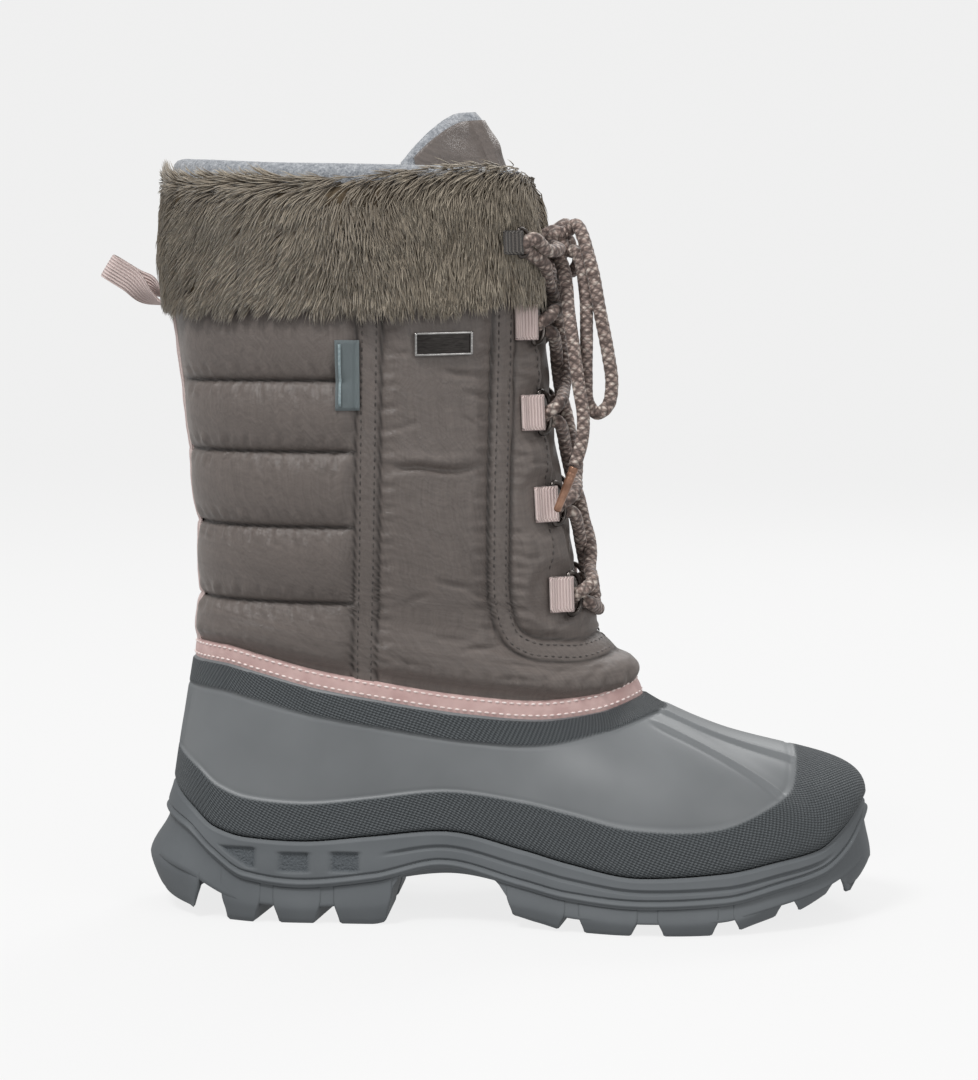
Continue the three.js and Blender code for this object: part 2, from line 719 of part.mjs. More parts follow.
// Side view of a tab: a tape folded round the straight bar of its ring, with a hole for the bar.
function tabGeometry({ back, bar, height, tape, wire }) {
  const hole = wire / 2 + 0.45;
  const bend = hole + tape;
  const shape = new THREE.Shape();
  shape.moveTo(-back, 0);
  shape.lineTo(bar, 0);
  shape.absarc(bar, bend, bend, -Math.PI / 2, Math.PI / 2, false);
  shape.lineTo(-back, 2 * tape);
  shape.closePath();
  const opening = new THREE.Path();
  opening.absarc(bar, bend, hole, 0, 2 * Math.PI, true);
  shape.holes.push(opening);
  const geometry = new THREE.ExtrudeGeometry(shape, { depth: height, bevelEnabled: false, curveSegments: 3 });
  return geometry.rotateX(Math.PI / 2).translate(0, height / 2, 0);
}

// A wire bent to a squarish D, its straight bar inside the tab.
function ringGeometry({ bar, height, reach, wire, tape }) {
  const rise = wire / 2 + 0.45 + tape;
  const arcSteps = 6;
  const barSteps = 3;
  const half = (height - wire) / 2;
  const path = [
    ...range(arcSteps + 1).map((i) => {
      const turn = Math.PI * (i / arcSteps - 0.5);
      const across = Math.sign(turn) * Math.abs(Math.sin(turn)) ** 0.6;
      return new THREE.Vector3(bar + reach * Math.cos(turn) ** 0.8, half * across, rise);
    }),
    ...range(barSteps - 1).map((i) => new THREE.Vector3(bar, half * (1 - 2 * (i + 1) / barSteps), rise)),
  ];
  const sides = 5;
  const rings = path.map((point, i) => {
    const before = path[(i + path.length - 1) % path.length];
    const after = path[(i + 1) % path.length];
    const inward = after.clone().sub(before).cross(new THREE.Vector3(0, 0, 1)).normalize();
    const corner = i === 0 || i === arcSteps ? 1.25 : 1;
    return range(sides).map((k) => {
      const turn = (2 * Math.PI * k) / sides;
      return point.clone()
        .addScaledVector(inward, Math.cos(turn) * (wire / 2) * corner)
        .add(new THREE.Vector3(0, 0, Math.sin(turn) * (wire / 2)));
    });
  });
  return bodyFromRings(rings, true);
}

const EYELET = { back: 5, bar: 3, height: TAB_HEIGHT, tape: 0.75, wire: RING_WIRE };
const RING = { bar: 3, height: RING_HEIGHT, reach: 6.4, tape: 0.75, wire: RING_WIRE };
const KEEPER = { back: 3.5, bar: 2.5, height: 9, tape: 0.7, wire: 1.5 };
const KEEPER_RING = { bar: 2.5, height: 12.4, reach: 5, tape: 0.7, wire: 1.5 };

// ---------------------------------------------------------------- lace

const LACE_RADIUS = LACE_DIAMETER / 2;

function cord(points, radius = LACE_RADIUS, steps = 2 * points.length, sides = 7) {
  const shape = new THREE.Shape();
  shape.absarc(0, 0, radius, 0, 2 * Math.PI, false);
  const round = new THREE.Shape(shape.getSpacedPoints(sides).slice(0, sides));
  const path = new THREE.CatmullRomCurve3(points, false, 'centripetal');
  return new THREE.ExtrudeGeometry(round, { steps, bevelEnabled: false, extrudePath: path });
}

// A strand over the throat, from an eyelet on one side to one on the other.
const STRAND_ANGLE = 15.5;

function strand(sideSign, fromHeight, toHeight, { ends, middle, dip = 0 }) {
  const steps = 6;
  return range(steps + 1).map((i) => {
    const share = i / steps;
    const arch = Math.sin(Math.PI * share);
    const height = lerp(fromHeight, toHeight, share) - dip * arch;
    return leg(sideSign * STRAND_ANGLE * (1 - 2 * share), height, lerp(ends, middle, arch));
  });
}

function crossing(lower, upper) {
  const inset = 2.5;
  const under = cord(strand(1, lower + inset, upper - inset, { ends: 3.8, middle: 0.3 }), LACE_RADIUS, 6);
  const over = cord(strand(-1, lower + inset, upper - inset, { ends: 4.2, middle: 2.6 }), LACE_RADIUS, 6);
  return toGeometry(toSolid(under).add(toSolid(over)));
}

const bottomBar = () => cord(strand(1, 127, 127, { ends: 3.6, middle: 3.6, dip: 6.5 }), LACE_RADIUS, 6);

const KNOT = { centre: new THREE.Vector3(164, 0, 267), radii: new THREE.Vector3(7.6, 8.6, 6.8) };

// Point outside the knot along a direction, and a little further on.
const besideKnot = (x, y, z) => [0.5, 4.5].map((beyond) => {
  const direction = new THREE.Vector3(x, y, z).normalize();
  const surface = 1 / direction.clone().divide(KNOT.radii).length();
  return KNOT.centre.clone().addScaledVector(direction, surface + beyond);
});
const leaving = besideKnot;
const arriving = (x, y, z) => besideKnot(x, y, z).reverse();

// The knot, with the short strands that come to it from the keepers on the cuff.
function knot() {
  const { centre, radii } = KNOT;
  const ball = new THREE.SphereGeometry(1, 10, 7).scale(radii.x, radii.y, radii.z);
  ball.translate(centre.x, centre.y, centre.z);
  const arms = [1, -1].map((sideSign) => cord([
    leg(sideSign * 30, 263, 9.8),
    leg(sideSign * 23, 262.5, 10),
    leg(sideSign * 14, 263.5, 9),
    new THREE.Vector3(centre.x, -sideSign * 3, centre.z - 1),
  ], LACE_RADIUS, 4));
  return toGeometry(arms.reduce((solid, arm) => solid.add(toSolid(arm)), toSolid(ball)));
}

const vectors = (points) => points.map(([x, y, z]) => new THREE.Vector3(x, y, z));
const onLeg = (points) => points.map(([angle, height, outward]) => leg(angle, height, outward));

const OUTER_LOOP = [
  ...leaving(0.75, -0.4, 0.53),
  ...vectors([
    [179.2, -12.6, 257],
    [182.6, -15.5, 240],
    [186, -17.5, 223],
    [187.6, -19, 211],
    [186.2, -20, 202.6],
    [182, -20.5, 199.5],
    [178.4, -20.2, 203.5],
    [177.6, -19, 214],
    [177.6, -16.5, 230],
    [177, -12, 246],
  ]),
  ...arriving(0.8, -0.4, -0.45),
];
const OUTER_END = [
  ...leaving(0.3, -0.45, -0.84),
  ...vectors([
    [169.6, -13.5, 249.4],
    [170.6, -20.5, 240],
    [172.6, -25, 227],
    [175, -27, 210],
    [176.8, -28, 198.5],
    [176.2, -29, 188.5],
    [173.6, -30, 179.4],
  ]),
];
const OUTER_TIP = vectors([[173.4, -30.1, 178.8], [170.2, -31, 170.5], [166.6, -32, 161.6]]);

// Angle round the leg, height, and distance out from the leg.
const INNER_LOOP = [
  ...leaving(0.35, 0.75, 0.55),
  ...onLeg([
    [-23, 273, 11.5],
    [-33, 269.5, 14.8],
    [-42, 260, 14.8],
    [-49, 247, 11.4],
    [-53, 232, 8],
    [-55, 219, 6.4],
    [-52.5, 210.5, 5.6],
    [-47.5, 210.5, 5.8],
    [-44, 219, 6.8],
    [-41, 232, 9],
    [-35, 246, 10.8],
    [-24, 254.5, 11.2],
    [-13, 256.5, 12.6],
  ]),
  ...arriving(0.78, 0.5, -0.36),
];
const INNER_END = [
  ...leaving(0.3, 0.45, -0.84),
  ...onLeg([
    [-16.5, 250.5, 9.6],
    [-25, 244, 9.6],
    [-31, 234, 8.4],
    [-35, 220, 7],
    [-37, 207, 7.2],
    [-38, 196, 6.6],
  ]),
];
const INNER_TIP = onLeg([[-38, 195.4, 6.6], [-38.5, 187, 5.6], [-39, 177.6, 5]]);

// ---------------------------------------------------------------- assembly

const group = new THREE.Group();

const RUBBER = { color: 0x7d7f80, roughness: 0.5, metalness: 0 };
const SOLE_RUBBER = { color: 0x6f7274, roughness: 0.7, metalness: 0 };
const NYLON = { color: 0x70675f, roughness: 0.45, metalness: 0 };
const FUR = { color: 0x968a76, roughness: 1, metalness: 0 };
const FLEECE = { color: 0xa0a5aa, roughness: 1, metalness: 0 };
const PINK_TAPE = { color: 0xdec8c4, roughness: 0.8, metalness: 0 };
const DARK_TAPE = { color: 0x4a4643, roughness: 0.7, metalness: 0 };
const GUNMETAL = { color: 0x3a3938, roughness: 0.35, metalness: 0.9 };
const LACE = { color: 0x8d7d76, roughness: 0.7, metalness: 0 };
const LACE_TIP = { color: 0x9a7560, roughness: 0.35, metalness: 0.4 };

function addPiece(name, geometry, finish, place = new THREE.Matrix4()) {
  const mesh = new THREE.Mesh(geometry, new THREE.MeshStandardMaterial(finish));
  mesh.name = name;
  place.decompose(mesh.position, mesh.quaternion, mesh.scale);
  mesh.position.sub(ORIGIN);
  group.add(mesh);
}

addPiece('outsole', outsole(), SOLE_RUBBER);
addPiece('rubber_foot', rubberFoot(), RUBBER);
addPiece('insole', insole(), FLEECE);
addPiece('shaft', shaft(), NYLON);
addPiece('fur_cuff', furCuff(), FUR);
addPiece('tongue', tongue(), NYLON);
addPiece('pull_loop', pullLoop(), PINK_TAPE);

for (const [name, sideSign] of [['outer', 1], ['inner', -1]]) {
  EYELET_HEIGHTS.forEach((height, i) => {
    const place = surfaceFrame(sideSign, TAB_ANGLE, height, i === 0 ? 1.3 : 1.5 * CLEARANCE);
    addPiece(`ring_tab_${name}_${i + 1}`, tabGeometry(EYELET), PINK_TAPE, place);
    addPiece(`ring_${name}_${i + 1}`, ringGeometry(RING), GUNMETAL, place);
  });
  const place = surfaceFrame(sideSign, KEEPER_ANGLE, KEEPER_HEIGHT, CUFF_DEPTH + 2 * CLEARANCE);
  addPiece(`keeper_tab_${name}`, tabGeometry(KEEPER), DARK_TAPE, place);
  addPiece(`keeper_ring_${name}`, ringGeometry(KEEPER_RING), GUNMETAL, place);
}

addPiece('lace_bar', bottomBar(), LACE);
const LACE_ROWS = [...EYELET_HEIGHTS, 251];
EYELET_HEIGHTS.forEach((height, i) => {
  addPiece(`lace_crossing_${i + 1}`, crossing(height, LACE_ROWS[i + 1]), LACE);
});
addPiece('lace_knot', knot(), LACE);
addPiece('lace_loop_outer', cord(OUTER_LOOP, LACE_RADIUS, 18), LACE);
addPiece('lace_end_outer', cord(OUTER_END, LACE_RADIUS, 9), LACE);
addPiece('lace_tip_outer', cord(OUTER_TIP, LACE_RADIUS * 0.8, 3), LACE_TIP);
addPiece('lace_loop_inner', cord(INNER_LOOP, LACE_RADIUS, 18), LACE);
addPiece('lace_end_inner', cord(INNER_END, LACE_RADIUS, 9), LACE);
addPiece('lace_tip_inner', cord(INNER_TIP, LACE_RADIUS * 0.8, 3), LACE_TIP);

export default group;
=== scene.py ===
"""Snow boot for the right foot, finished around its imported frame.

Shapes are worked out in millimetres from the back of the heel (x = 0) with the floor at z = 0, as
the frame's own design is, and `placed` moves them into the frame in metres.
"""

import bpy
import numpy as np
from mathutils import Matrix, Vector


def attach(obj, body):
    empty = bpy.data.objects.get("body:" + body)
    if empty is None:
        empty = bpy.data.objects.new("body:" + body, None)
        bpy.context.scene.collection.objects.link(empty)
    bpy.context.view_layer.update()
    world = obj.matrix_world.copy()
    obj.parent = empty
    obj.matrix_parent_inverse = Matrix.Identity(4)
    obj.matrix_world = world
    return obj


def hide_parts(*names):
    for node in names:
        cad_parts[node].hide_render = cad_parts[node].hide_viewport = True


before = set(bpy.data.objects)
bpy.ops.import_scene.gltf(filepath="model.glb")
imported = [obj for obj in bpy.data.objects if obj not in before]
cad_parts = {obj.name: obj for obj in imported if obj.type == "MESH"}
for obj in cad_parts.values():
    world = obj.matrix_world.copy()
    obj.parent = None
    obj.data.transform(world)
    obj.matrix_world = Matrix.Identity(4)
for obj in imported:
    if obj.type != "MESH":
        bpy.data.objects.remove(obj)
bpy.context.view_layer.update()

# ------------------------------------------------------------------ driving sizes, millimetres

ORIGIN = np.array([137.0, 0.0, 0.0])
CLEARANCE = 0.3
RUBBER_WALL = 2.8
BAND_PROUD = 1.0
TOPLINE_STEP = 1.6
LEG_WALL = 5.5
CUFF_DEPTH = 6.2
TONGUE_WALL = 4.6
SOLE_CUP_WALL = 5.0
LACE_DIAMETER = 5.2
LACE_RADIUS = LACE_DIAMETER / 2
RING_WIRE = 2.0
TAB_HEIGHT = 14.0
TAB_ANGLE = 30.0
RING_HEIGHT = 18.7
EYELET_HEIGHTS = (128.5, 164.0, 199.8, 234.9)
KEEPER_HEIGHT = 265.0
KEEPER_ANGLE = 39.0
OUTER, INNER = 1, -1
SIDES = (("outer", OUTER), ("inner", INNER))


def table(columns, rows):
    """Rows of numbers as one array for each named column."""
    return dict(zip(columns.split(), np.array(rows, dtype=float).T))


# Ribs of the moulded foot, from the heel round the outer side to the toe and back: sole outline,
# place round the leg at the topline, start and end of the rib, share under the textured band.
RIBS = table(
    "x y angle rise lean fall reach cap",
    [
        (11, 0, 180, 15, -2.2, 15, 2.6, 0.27),
        (22, -27, 151, 17, -1, 18, 2, 0.27),
        (48, -37.5, 128, 20, 1, 22, 1.5, 0.23),
        (84, -39, 107, 18, 1, 20, 0.5, 0.25),
        (122, -39, 84, 15, 1, 15, 0.5, 0.31),
        (160, -44.5, 60, 24, 2, 14, 5, 0.28),
        (197, -51, 40, 32, 2, 14, 18, 0.2),
        (232, -48.5, 25, 30, 2, 16, 30, 0.19),
        (262, -36, 13, 26, 2, 20, 36, 0.3),
        (281, -18, 5, 24, 2.5, 25, 38, 0.43),
        (288.5, 4, -1, 23, 2.5, 26, 38, 0.48),
        (280.5, 27, -7, 24, 2.5, 25, 38, 0.43),
        (258, 45.5, -16, 27, 2, 20, 36, 0.3),
        (222, 55, -29, 32, 2, 16, 28, 0.19),
        (186, 51.5, -46, 30, 2, 14, 17, 0.21),
        (150, 41, -66, 24, 1.5, 14, 4, 0.28),
        (115, 34.5, -87, 16, 1, 15, -1, 0.31),
        (80, 35.5, -108, 18, 1, 18, -1, 0.25),
        (46, 35.5, -130, 20, 1, 22, 1, 0.23),
        (21.5, 25.5, -152, 17, -1, 18, 2, 0.27),
    ],
)

# Lines along the side of the sole, by x: top of the rim, foot of the smooth wall, widest part of
# the lugs, and how far each stands out.
SIDE_LINES = table(
    "x rim foot foot_out kick kick_out tread_out",
    [
        (11, 51, 39, 3, 20.5, 11, 6),
        (22, 44, 35, 3, 17, 7.5, 4),
        (32, 36.5, 25.5, 2.2, 10, 4, 1.5),
        (45, 33.2, 17, 2, 7, 3, 1),
        (67, 32.2, 14.4, 2, 6, 3, 1),
        (95, 34.6, 17.2, 2, 7, 3, 1),
        (123, 37.1, 23, 1.5, 12, 2, 1),
        (154, 31, 16.4, 1.8, 9, 2.6, 1),
        (172, 26.5, 12.5, 2, 6, 3, 1.2),
        (200, 22, 10.4, 2.2, 4.5, 3.2, 1.4),
        (232, 23.7, 11.8, 2.2, 5.5, 3.2, 1),
        (252, 27, 16, 2, 10, 3, 0.5),
        (269, 30, 20, 2, 14, 2.8, 0),
        (279, 36.6, 27, 1.5, 18, 3, -1),
        (288.5, 45.5, 40, 0.8, 22, 3.2, -2),
    ],
)

# Heights along the sole: under the lugs, between the lugs, and the footbed.
SOLE_LINE = table(
    "x ground base floor",
    [
        (0, 20, 24, 36),
        (5, 13, 20, 35),
        (14, 7.5, 17, 33),
        (24, 4, 15.5, 31),
        (38, 0, 13, 30),
        (60, 0, 11.5, 29),
        (95, 0, 13, 28),
        (104, 2, 16.5, 27.5),
        (125, 6, 19, 26),
        (148, 5.5, 15.5, 23),
        (160, 3, 12, 20.5),
        (176, 0, 9.4, 17.5),
        (203, 0, 7, 16),
        (228, 0, 7.8, 16.5),
        (245, 4, 10.5, 18.5),
        (260, 7.5, 13.5, 21.5),
        (274, 11.5, 17, 25.5),
        (286, 12.5, 20.5, 29),
        (292, 19, 24, 32),
    ],
)

# Grooves across the tread, from heel to toe; the fourth is the arch.
GROOVES = table(
    "start end sweep",
    [
        (26.5, 34.8, -4),
        (51, 56, 5),
        (75, 80, 5),
        (103, 148, 0),
        (171, 176, 6),
        (199, 206.5, 6),
        (230, 235.5, 6),
        (254.5, 258.5, 7),
        (274.5, 277, 6),
    ],
)

TOPLINE = table(
    "x height",
    [(18, 101.5), (34, 101), (50, 98), (74, 92.5), (98, 88.5), (134, 82.8), (162, 80.3),
     (182, 82), (200, 87)],
)

# Level sections of the leg: back and front on the centre line, and half its width.
LEG_SECTIONS = table(
    "height back front half_width",
    [
        (72, 19.6, 201, 37.5),
        (87, 20, 198.6, 38),
        (93, 20.2, 196.4, 38.5),
        (100, 20.6, 193.4, 39),
        (106, 21, 187.6, 40),
        (113, 21.6, 181.6, 41.5),
        (122, 22.4, 178.2, 43.5),
        (132, 23, 176, 46),
        (148, 22.8, 173.6, 49.5),
        (170, 20.6, 170, 53),
        (200, 17.6, 165.5, 56),
        (228, 14.2, 163.4, 57.8),
        (243, 12.8, 162.6, 58.2),
        (270, 12.6, 160.5, 58.2),
        (300, 13.6, 157, 57.6),
    ],
)
LEG_NARROWING = 0.1

THROAT = table(
    "height half_angle",
    [(124, 4), (128, 10), (135, 15.5), (145, 19), (160, 20.5), (240, 21), (300, 21.5)],
)

COLLAR = table(
    "angle leg_top cuff_top cuff_bottom",
    [
        (0, 290, 292, 245.5),
        (42, 291, 294, 245),
        (60, 291, 292, 241),
        (100, 291.5, 287.5, 239.8),
        (145, 294.5, 289, 240),
        (165, 296, 291, 244),
        (180, 296.5, 292, 247),
    ],
)

TONGUE_TOP = table(
    "angle height",
    [(0, 318), (14, 317.5), (28, 316.5), (40, 314), (52, 309), (60, 303.5), (68, 296)],
)
TONGUE_LEAN = table(
    "height back",
    [(110, 0), (235, 0), (255, 2), (275, 5), (295, 9.5), (305, 12.5), (318, 19)],
)
TONGUE_BOTTOM = 112.0
TONGUE_HALF_ANGLE = 68.0
TONGUE_SUNK = 3.0

# ------------------------------------------------------------------ reading the tables


def lerp(a, b, share):
    return a + (b - a) * share


def smooth(value, low, high):
    """0 below low, 1 above high, and 3 s^2 - 2 s^3 between."""
    s = np.clip((np.asarray(value, dtype=float) - low) / (high - low), 0, 1)
    return s * s * (3 - 2 * s)


def bump(value, centre, half_width):
    """A round hill of height 1: cosine squared of the distance, 0 past half_width."""
    s = np.clip(np.abs(np.asarray(value, dtype=float) - centre) / half_width, 0, 1)
    return np.cos(s * np.pi / 2) ** 2


def hermite(start, end, slope_start, slope_end, t):
    """Cubic between two values with a given slope at each."""
    t2, t3 = t * t, t * t * t
    return (start * (2 * t3 - 3 * t2 + 1) + end * (3 * t2 - 2 * t3)
            + slope_start * (t3 - 2 * t2 + t) + slope_end * (t3 - t2))


def along(rows, key, column, at):
    """Column's value at places along a table: a cubic through its rows whose slopes are harmonic
    means of the gradients, so that it never overshoots them."""
    x, y = rows[key], rows[column]
    at = np.clip(np.asarray(at, dtype=float), x[0], x[-1])
    gradient = np.diff(y) / np.diff(x)
    before, after = gradient[:-1], gradient[1:]
    product = before * after
    total = np.where(product > 0, before + after, 1.0)
    inner = np.where(product > 0, 2 * product / total, 0.0)
    slope = np.concatenate([gradient[:1], inner, gradient[-1:]])
    i = np.clip(np.searchsorted(x, at) - 1, 0, len(x) - 2)
    span = x[i + 1] - x[i]
    return hermite(y[i], y[i + 1], slope[i] * span, slope[i + 1] * span, (at - x[i]) / span)


def around_ribs(column, turn):
    """Rib column's value at turns round the foot: a closed cubic through the ribs."""
    count = len(RIBS["x"])
    place = np.asarray(turn, dtype=float) * count
    i = np.floor(place).astype(int)
    winding = 360.0 if column == "angle" else 0.0

    def value(k):
        laps = np.floor_divide(k, count)
        return RIBS[column][k - laps * count] - winding * laps

    def slope(k):
        return (value(k + 1) - value(k - 1)) / 2

    return hermite(value(i), value(i + 1), slope(i), slope(i + 1), place - i)


def side_line(x, column):
    return along(SIDE_LINES, "x", column, x)


def sole_height(x, column):
    return along(SOLE_LINE, "x", column, x)


def stack(*parts):
    return np.stack(np.broadcast_arrays(*[np.asarray(p, dtype=float) for p in parts]), axis=-1)


def unit(vectors):
    return vectors / np.maximum(np.linalg.norm(vectors, axis=-1, keepdims=True), 1e-9)


# ------------------------------------------------------------------ the last's surfaces


def outline(turn, outward=0.0):
    """Sole outline at turns round it, moved outwards in plan along its own normal."""
    step = 0.002
    dx = around_ribs("x", turn + step) - around_ribs("x", turn - step)
    dy = around_ribs("y", turn + step) - around_ribs("y", turn - step)
    size = np.hypot(dx, dy)
    x = around_ribs("x", turn) + outward * dy / size
    return x, around_ribs("y", turn) - outward * dx / size


def leg(angle, height, outward=0.0):
    """Leg's outer surface: an egg-shaped level section, 0 degrees in front, + on the outer side,
    moved outwards along the section's normal."""
    back = along(LEG_SECTIONS, "height", "back", height)
    front = along(LEG_SECTIONS, "height", "front", height)
    half_width = along(LEG_SECTIONS, "height", "half_width", height)
    half_length = (front - back) / 2
    c, s = np.cos(np.radians(angle)), np.sin(np.radians(angle))
    nx, ny = half_width * c, -half_length * s
    size = np.hypot(nx, ny)
    x = back + half_length * (1 + c) + outward * nx / size
    y = -half_width * s * (1 - LEG_NARROWING * c) + outward * ny / size
    return stack(x, y, height)


def leg_angle(x, height):
    """Angle round the leg at a distance x from the heel, on the outer side."""
    back = along(LEG_SECTIONS, "height", "back", height)
    front = along(LEG_SECTIONS, "height", "front", height)
    return np.degrees(np.arccos(np.clip(2 * (x - back) / (front - back) - 1, -1, 1)))


def topline_point(angle):
    """Point of the topline at angles round the leg."""
    height = np.full(np.shape(angle), 90.0)
    for _ in range(4):
        height = along(TOPLINE, "x", "height", leg(angle, height, TOPLINE_STEP)[..., 0])
    return leg(angle, height, TOPLINE_STEP)


def foot(turn, t):
    """Moulded foot's plain surface: a cubic rib from the rim (t = 0) to the topline (t = 1)."""
    turn, t = np.broadcast_arrays(np.asarray(turn, dtype=float), np.asarray(t, dtype=float))
    x0, y0 = outline(turn)
    x1, y1 = outline(turn, around_ribs("lean", turn))
    rim = side_line(x0, "rim") + 2 * CLEARANCE
    end = topline_point(around_ribs("angle", turn))
    away = unit(stack(x0 - end[..., 0], y0 - end[..., 1], 0.0))
    start = stack(x0, y0, rim)
    low = stack(x1, y1, rim + around_ribs("rise", turn))
    high = end + away * around_ribs("reach", turn)[..., None]
    high = high - stack(0.0, 0.0, 1.0) * around_ribs("fall", turn)[..., None]
    s = t[..., None]
    return ((1 - s) ** 3 * start + 3 * (1 - s) ** 2 * s * low
            + 3 * (1 - s) * s ** 2 * high + s ** 3 * end)


def foot_normal(turn, t):
    step = 0.004
    across = foot(turn + step, t) - foot(turn - step, t)
    up = foot(turn, np.minimum(t + step, 1)) - foot(turn, np.maximum(t - step, 0))
    return unit(np.cross(across, up))


def folded(angle):
    return np.abs((np.asarray(angle, dtype=float) + 180) % 360 - 180)


def collar_height(angle, column):
    return along(COLLAR, "angle", column, folded(angle))


def throat_angle(height):
    return along(THROAT, "height", "half_angle", height)

# ------------------------------------------------------------------ meshes from grids

PIECES = {}


def placed(points):
    """Last's millimetres to the frame's metres."""
    return (points - ORIGIN) / 1000


def make_object(name, points, faces, uv=None, shade=None):
    """Mesh object from points, faces as rows of corners, and one uv pair for each face corner."""
    points = placed(np.asarray(points, dtype=float).reshape(-1, 3))
    faces = np.asarray(faces, dtype=np.int32)
    mesh = bpy.data.meshes.new(name)
    corners = faces.shape[1]
    mesh.vertices.add(len(points))
    mesh.vertices.foreach_set("co", points.ravel())
    mesh.loops.add(faces.size)
    mesh.loops.foreach_set("vertex_index", faces.ravel())
    mesh.polygons.add(len(faces))
    mesh.polygons.foreach_set("loop_start", np.arange(len(faces), dtype=np.int32) * corners)
    mesh.polygons.foreach_set("loop_total", np.full(len(faces), corners, dtype=np.int32))
    mesh.update(calc_edges=True)
    if uv is not None:
        layer = mesh.uv_layers.new(name="UVMap")
        layer.data.foreach_set("uv", np.asarray(uv, dtype=float).ravel())
    if shade is not None:
        attribute = mesh.attributes.new("shade", "FLOAT", "POINT")
        attribute.data.foreach_set("value", np.asarray(shade, dtype=float).ravel())
    mesh.validate()
    mesh.shade_smooth()
    obj = bpy.data.objects.new(name, mesh)
    bpy.context.collection.objects.link(obj)
    PIECES[name] = obj
    return obj


def quads(rows, columns, close_rows=False, close_columns=False, start=0):
    """Corner numbers of the cells of a rows x columns grid of points."""
    r = np.arange(rows if close_rows else rows - 1)
    c = np.arange(columns if close_columns else columns - 1)
    r, c = np.meshgrid(r, c, indexing="ij")
    r2, c2 = (r + 1) % rows, (c + 1) % columns
    cells = np.stack([r * columns + c, r * columns + c2, r2 * columns + c2, r2 * columns + c], -1)
    return start + cells.reshape(-1, 4)


def grid_uv(u, v, close_rows=False, close_columns=False):
    """uv of every cell corner of a grid; a closed side runs on past its seam."""
    if close_rows:
        u = np.vstack([u, 2 * u[-1:] - u[-2:-1]])
        v = np.vstack([v, 2 * v[-1:] - v[-2:-1]])
    if close_columns:
        u = np.hstack([u, 2 * u[:, -1:] - u[:, -2:-1]])
        v = np.hstack([v, 2 * v[:, -1:] - v[:, -2:-1]])
    both = np.stack([u, v], -1)
    cells = [both[:-1, :-1], both[:-1, 1:], both[1:, 1:], both[1:, :-1]]
    return np.stack(cells, -2).reshape(-1, 4, 2)


def surface_lengths(points):
    """Distances in millimetres along the rows and the columns of a grid, for its uv."""
    across = np.linalg.norm(np.diff(points, axis=1), axis=-1)
    down = np.linalg.norm(np.diff(points, axis=0), axis=-1)
    u = np.hstack([np.zeros((len(points), 1)), np.cumsum(across, axis=1)])
    v = np.vstack([np.zeros((1, points.shape[1])), np.cumsum(down, axis=0)])
    return u, v


def grid_object(name, points, close_rows=False, close_columns=False, uv=None, flip=False, shade=None):
    """Mesh object of a grid of points (rows, columns, 3); uv defaults to millimetres."""
    rows, columns = points.shape[:2]
    faces = quads(rows, columns, close_rows, close_columns)
    u, v = surface_lengths(points) if uv is None else uv
    corner_uv = grid_uv(u, v, close_rows, close_columns)
    if flip:
        faces, corner_uv = faces[:, ::-1], corner_uv[:, ::-1]
    return make_object(name, points, faces, corner_uv, shade)


def joined(parts):
    """Points, faces and corner uv of several meshes as one; parts are (points, faces, uv)."""
    points, faces, uvs, count = [], [], [], 0
    for part_points, part_faces, part_uv in parts:
        part_points = np.asarray(part_points, dtype=float).reshape(-1, 3)
        points.append(part_points)
        faces.append(part_faces + count)
        uvs.append(part_uv)
        count += len(part_points)
    return np.vstack(points), np.vstack(faces), np.vstack(uvs)


def outward_faces(obj):
    """Turns every face of a closed mesh outwards."""
    import bmesh

    work = bmesh.new()
    work.from_mesh(obj.data)
    bmesh.ops.recalc_face_normals(work, faces=work.faces)
    work.to_mesh(obj.data)
    work.free()
    return obj


def settle(obj, material, replaces=()):
    """Gives a piece its material and body, and hides the solids that it stands for."""
    obj.data.materials.clear()
    obj.data.materials.append(material)
    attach(obj, "root")
    if replaces:
        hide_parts(*replaces)
    return obj


def spline(points, steps):
    """Centripetal-like smooth curve through points: Catmull-Rom with chord-length parameters,
    sampled evenly along its length at steps + 1 points."""
    points = np.asarray(points, dtype=float)
    chord = np.sqrt(np.linalg.norm(np.diff(points, axis=0), axis=1))
    knots = np.concatenate([[0], np.cumsum(chord)])
    slope = np.gradient(points, knots, axis=0)
    fine = np.linspace(0, knots[-1], 24 * len(points))
    i = np.clip(np.searchsorted(knots, fine) - 1, 0, len(points) - 2)
    span = (knots[i + 1] - knots[i])[:, None]
    t = ((fine - knots[i])[:, None]) / span
    curve = hermite(points[i], points[i + 1], slope[i] * span, slope[i + 1] * span, t)
    length = np.concatenate([[0], np.cumsum(np.linalg.norm(np.diff(curve, axis=0), axis=1))])
    even = np.linspace(0, length[-1], steps + 1)
    return np.stack([np.interp(even, length, curve[:, k]) for k in range(3)], -1), length[-1]


def carried_frames(path, first=None):
    """Two unit vectors across a path at each point, turned as little as possible along it."""
    tangent = unit(np.gradient(path, axis=0))
    normal = np.empty_like(path)
    start = np.array([0.0, 0.0, 1.0]) if first is None else np.asarray(first, dtype=float)
    if abs(start @ tangent[0]) > 0.95:
        start = np.array([0.0, 1.0, 0.0])
    for i, direction in enumerate(tangent):
        start = start - direction * (start @ direction)
        start = start / np.linalg.norm(start)
        normal[i] = start
    return normal, np.cross(tangent, normal)


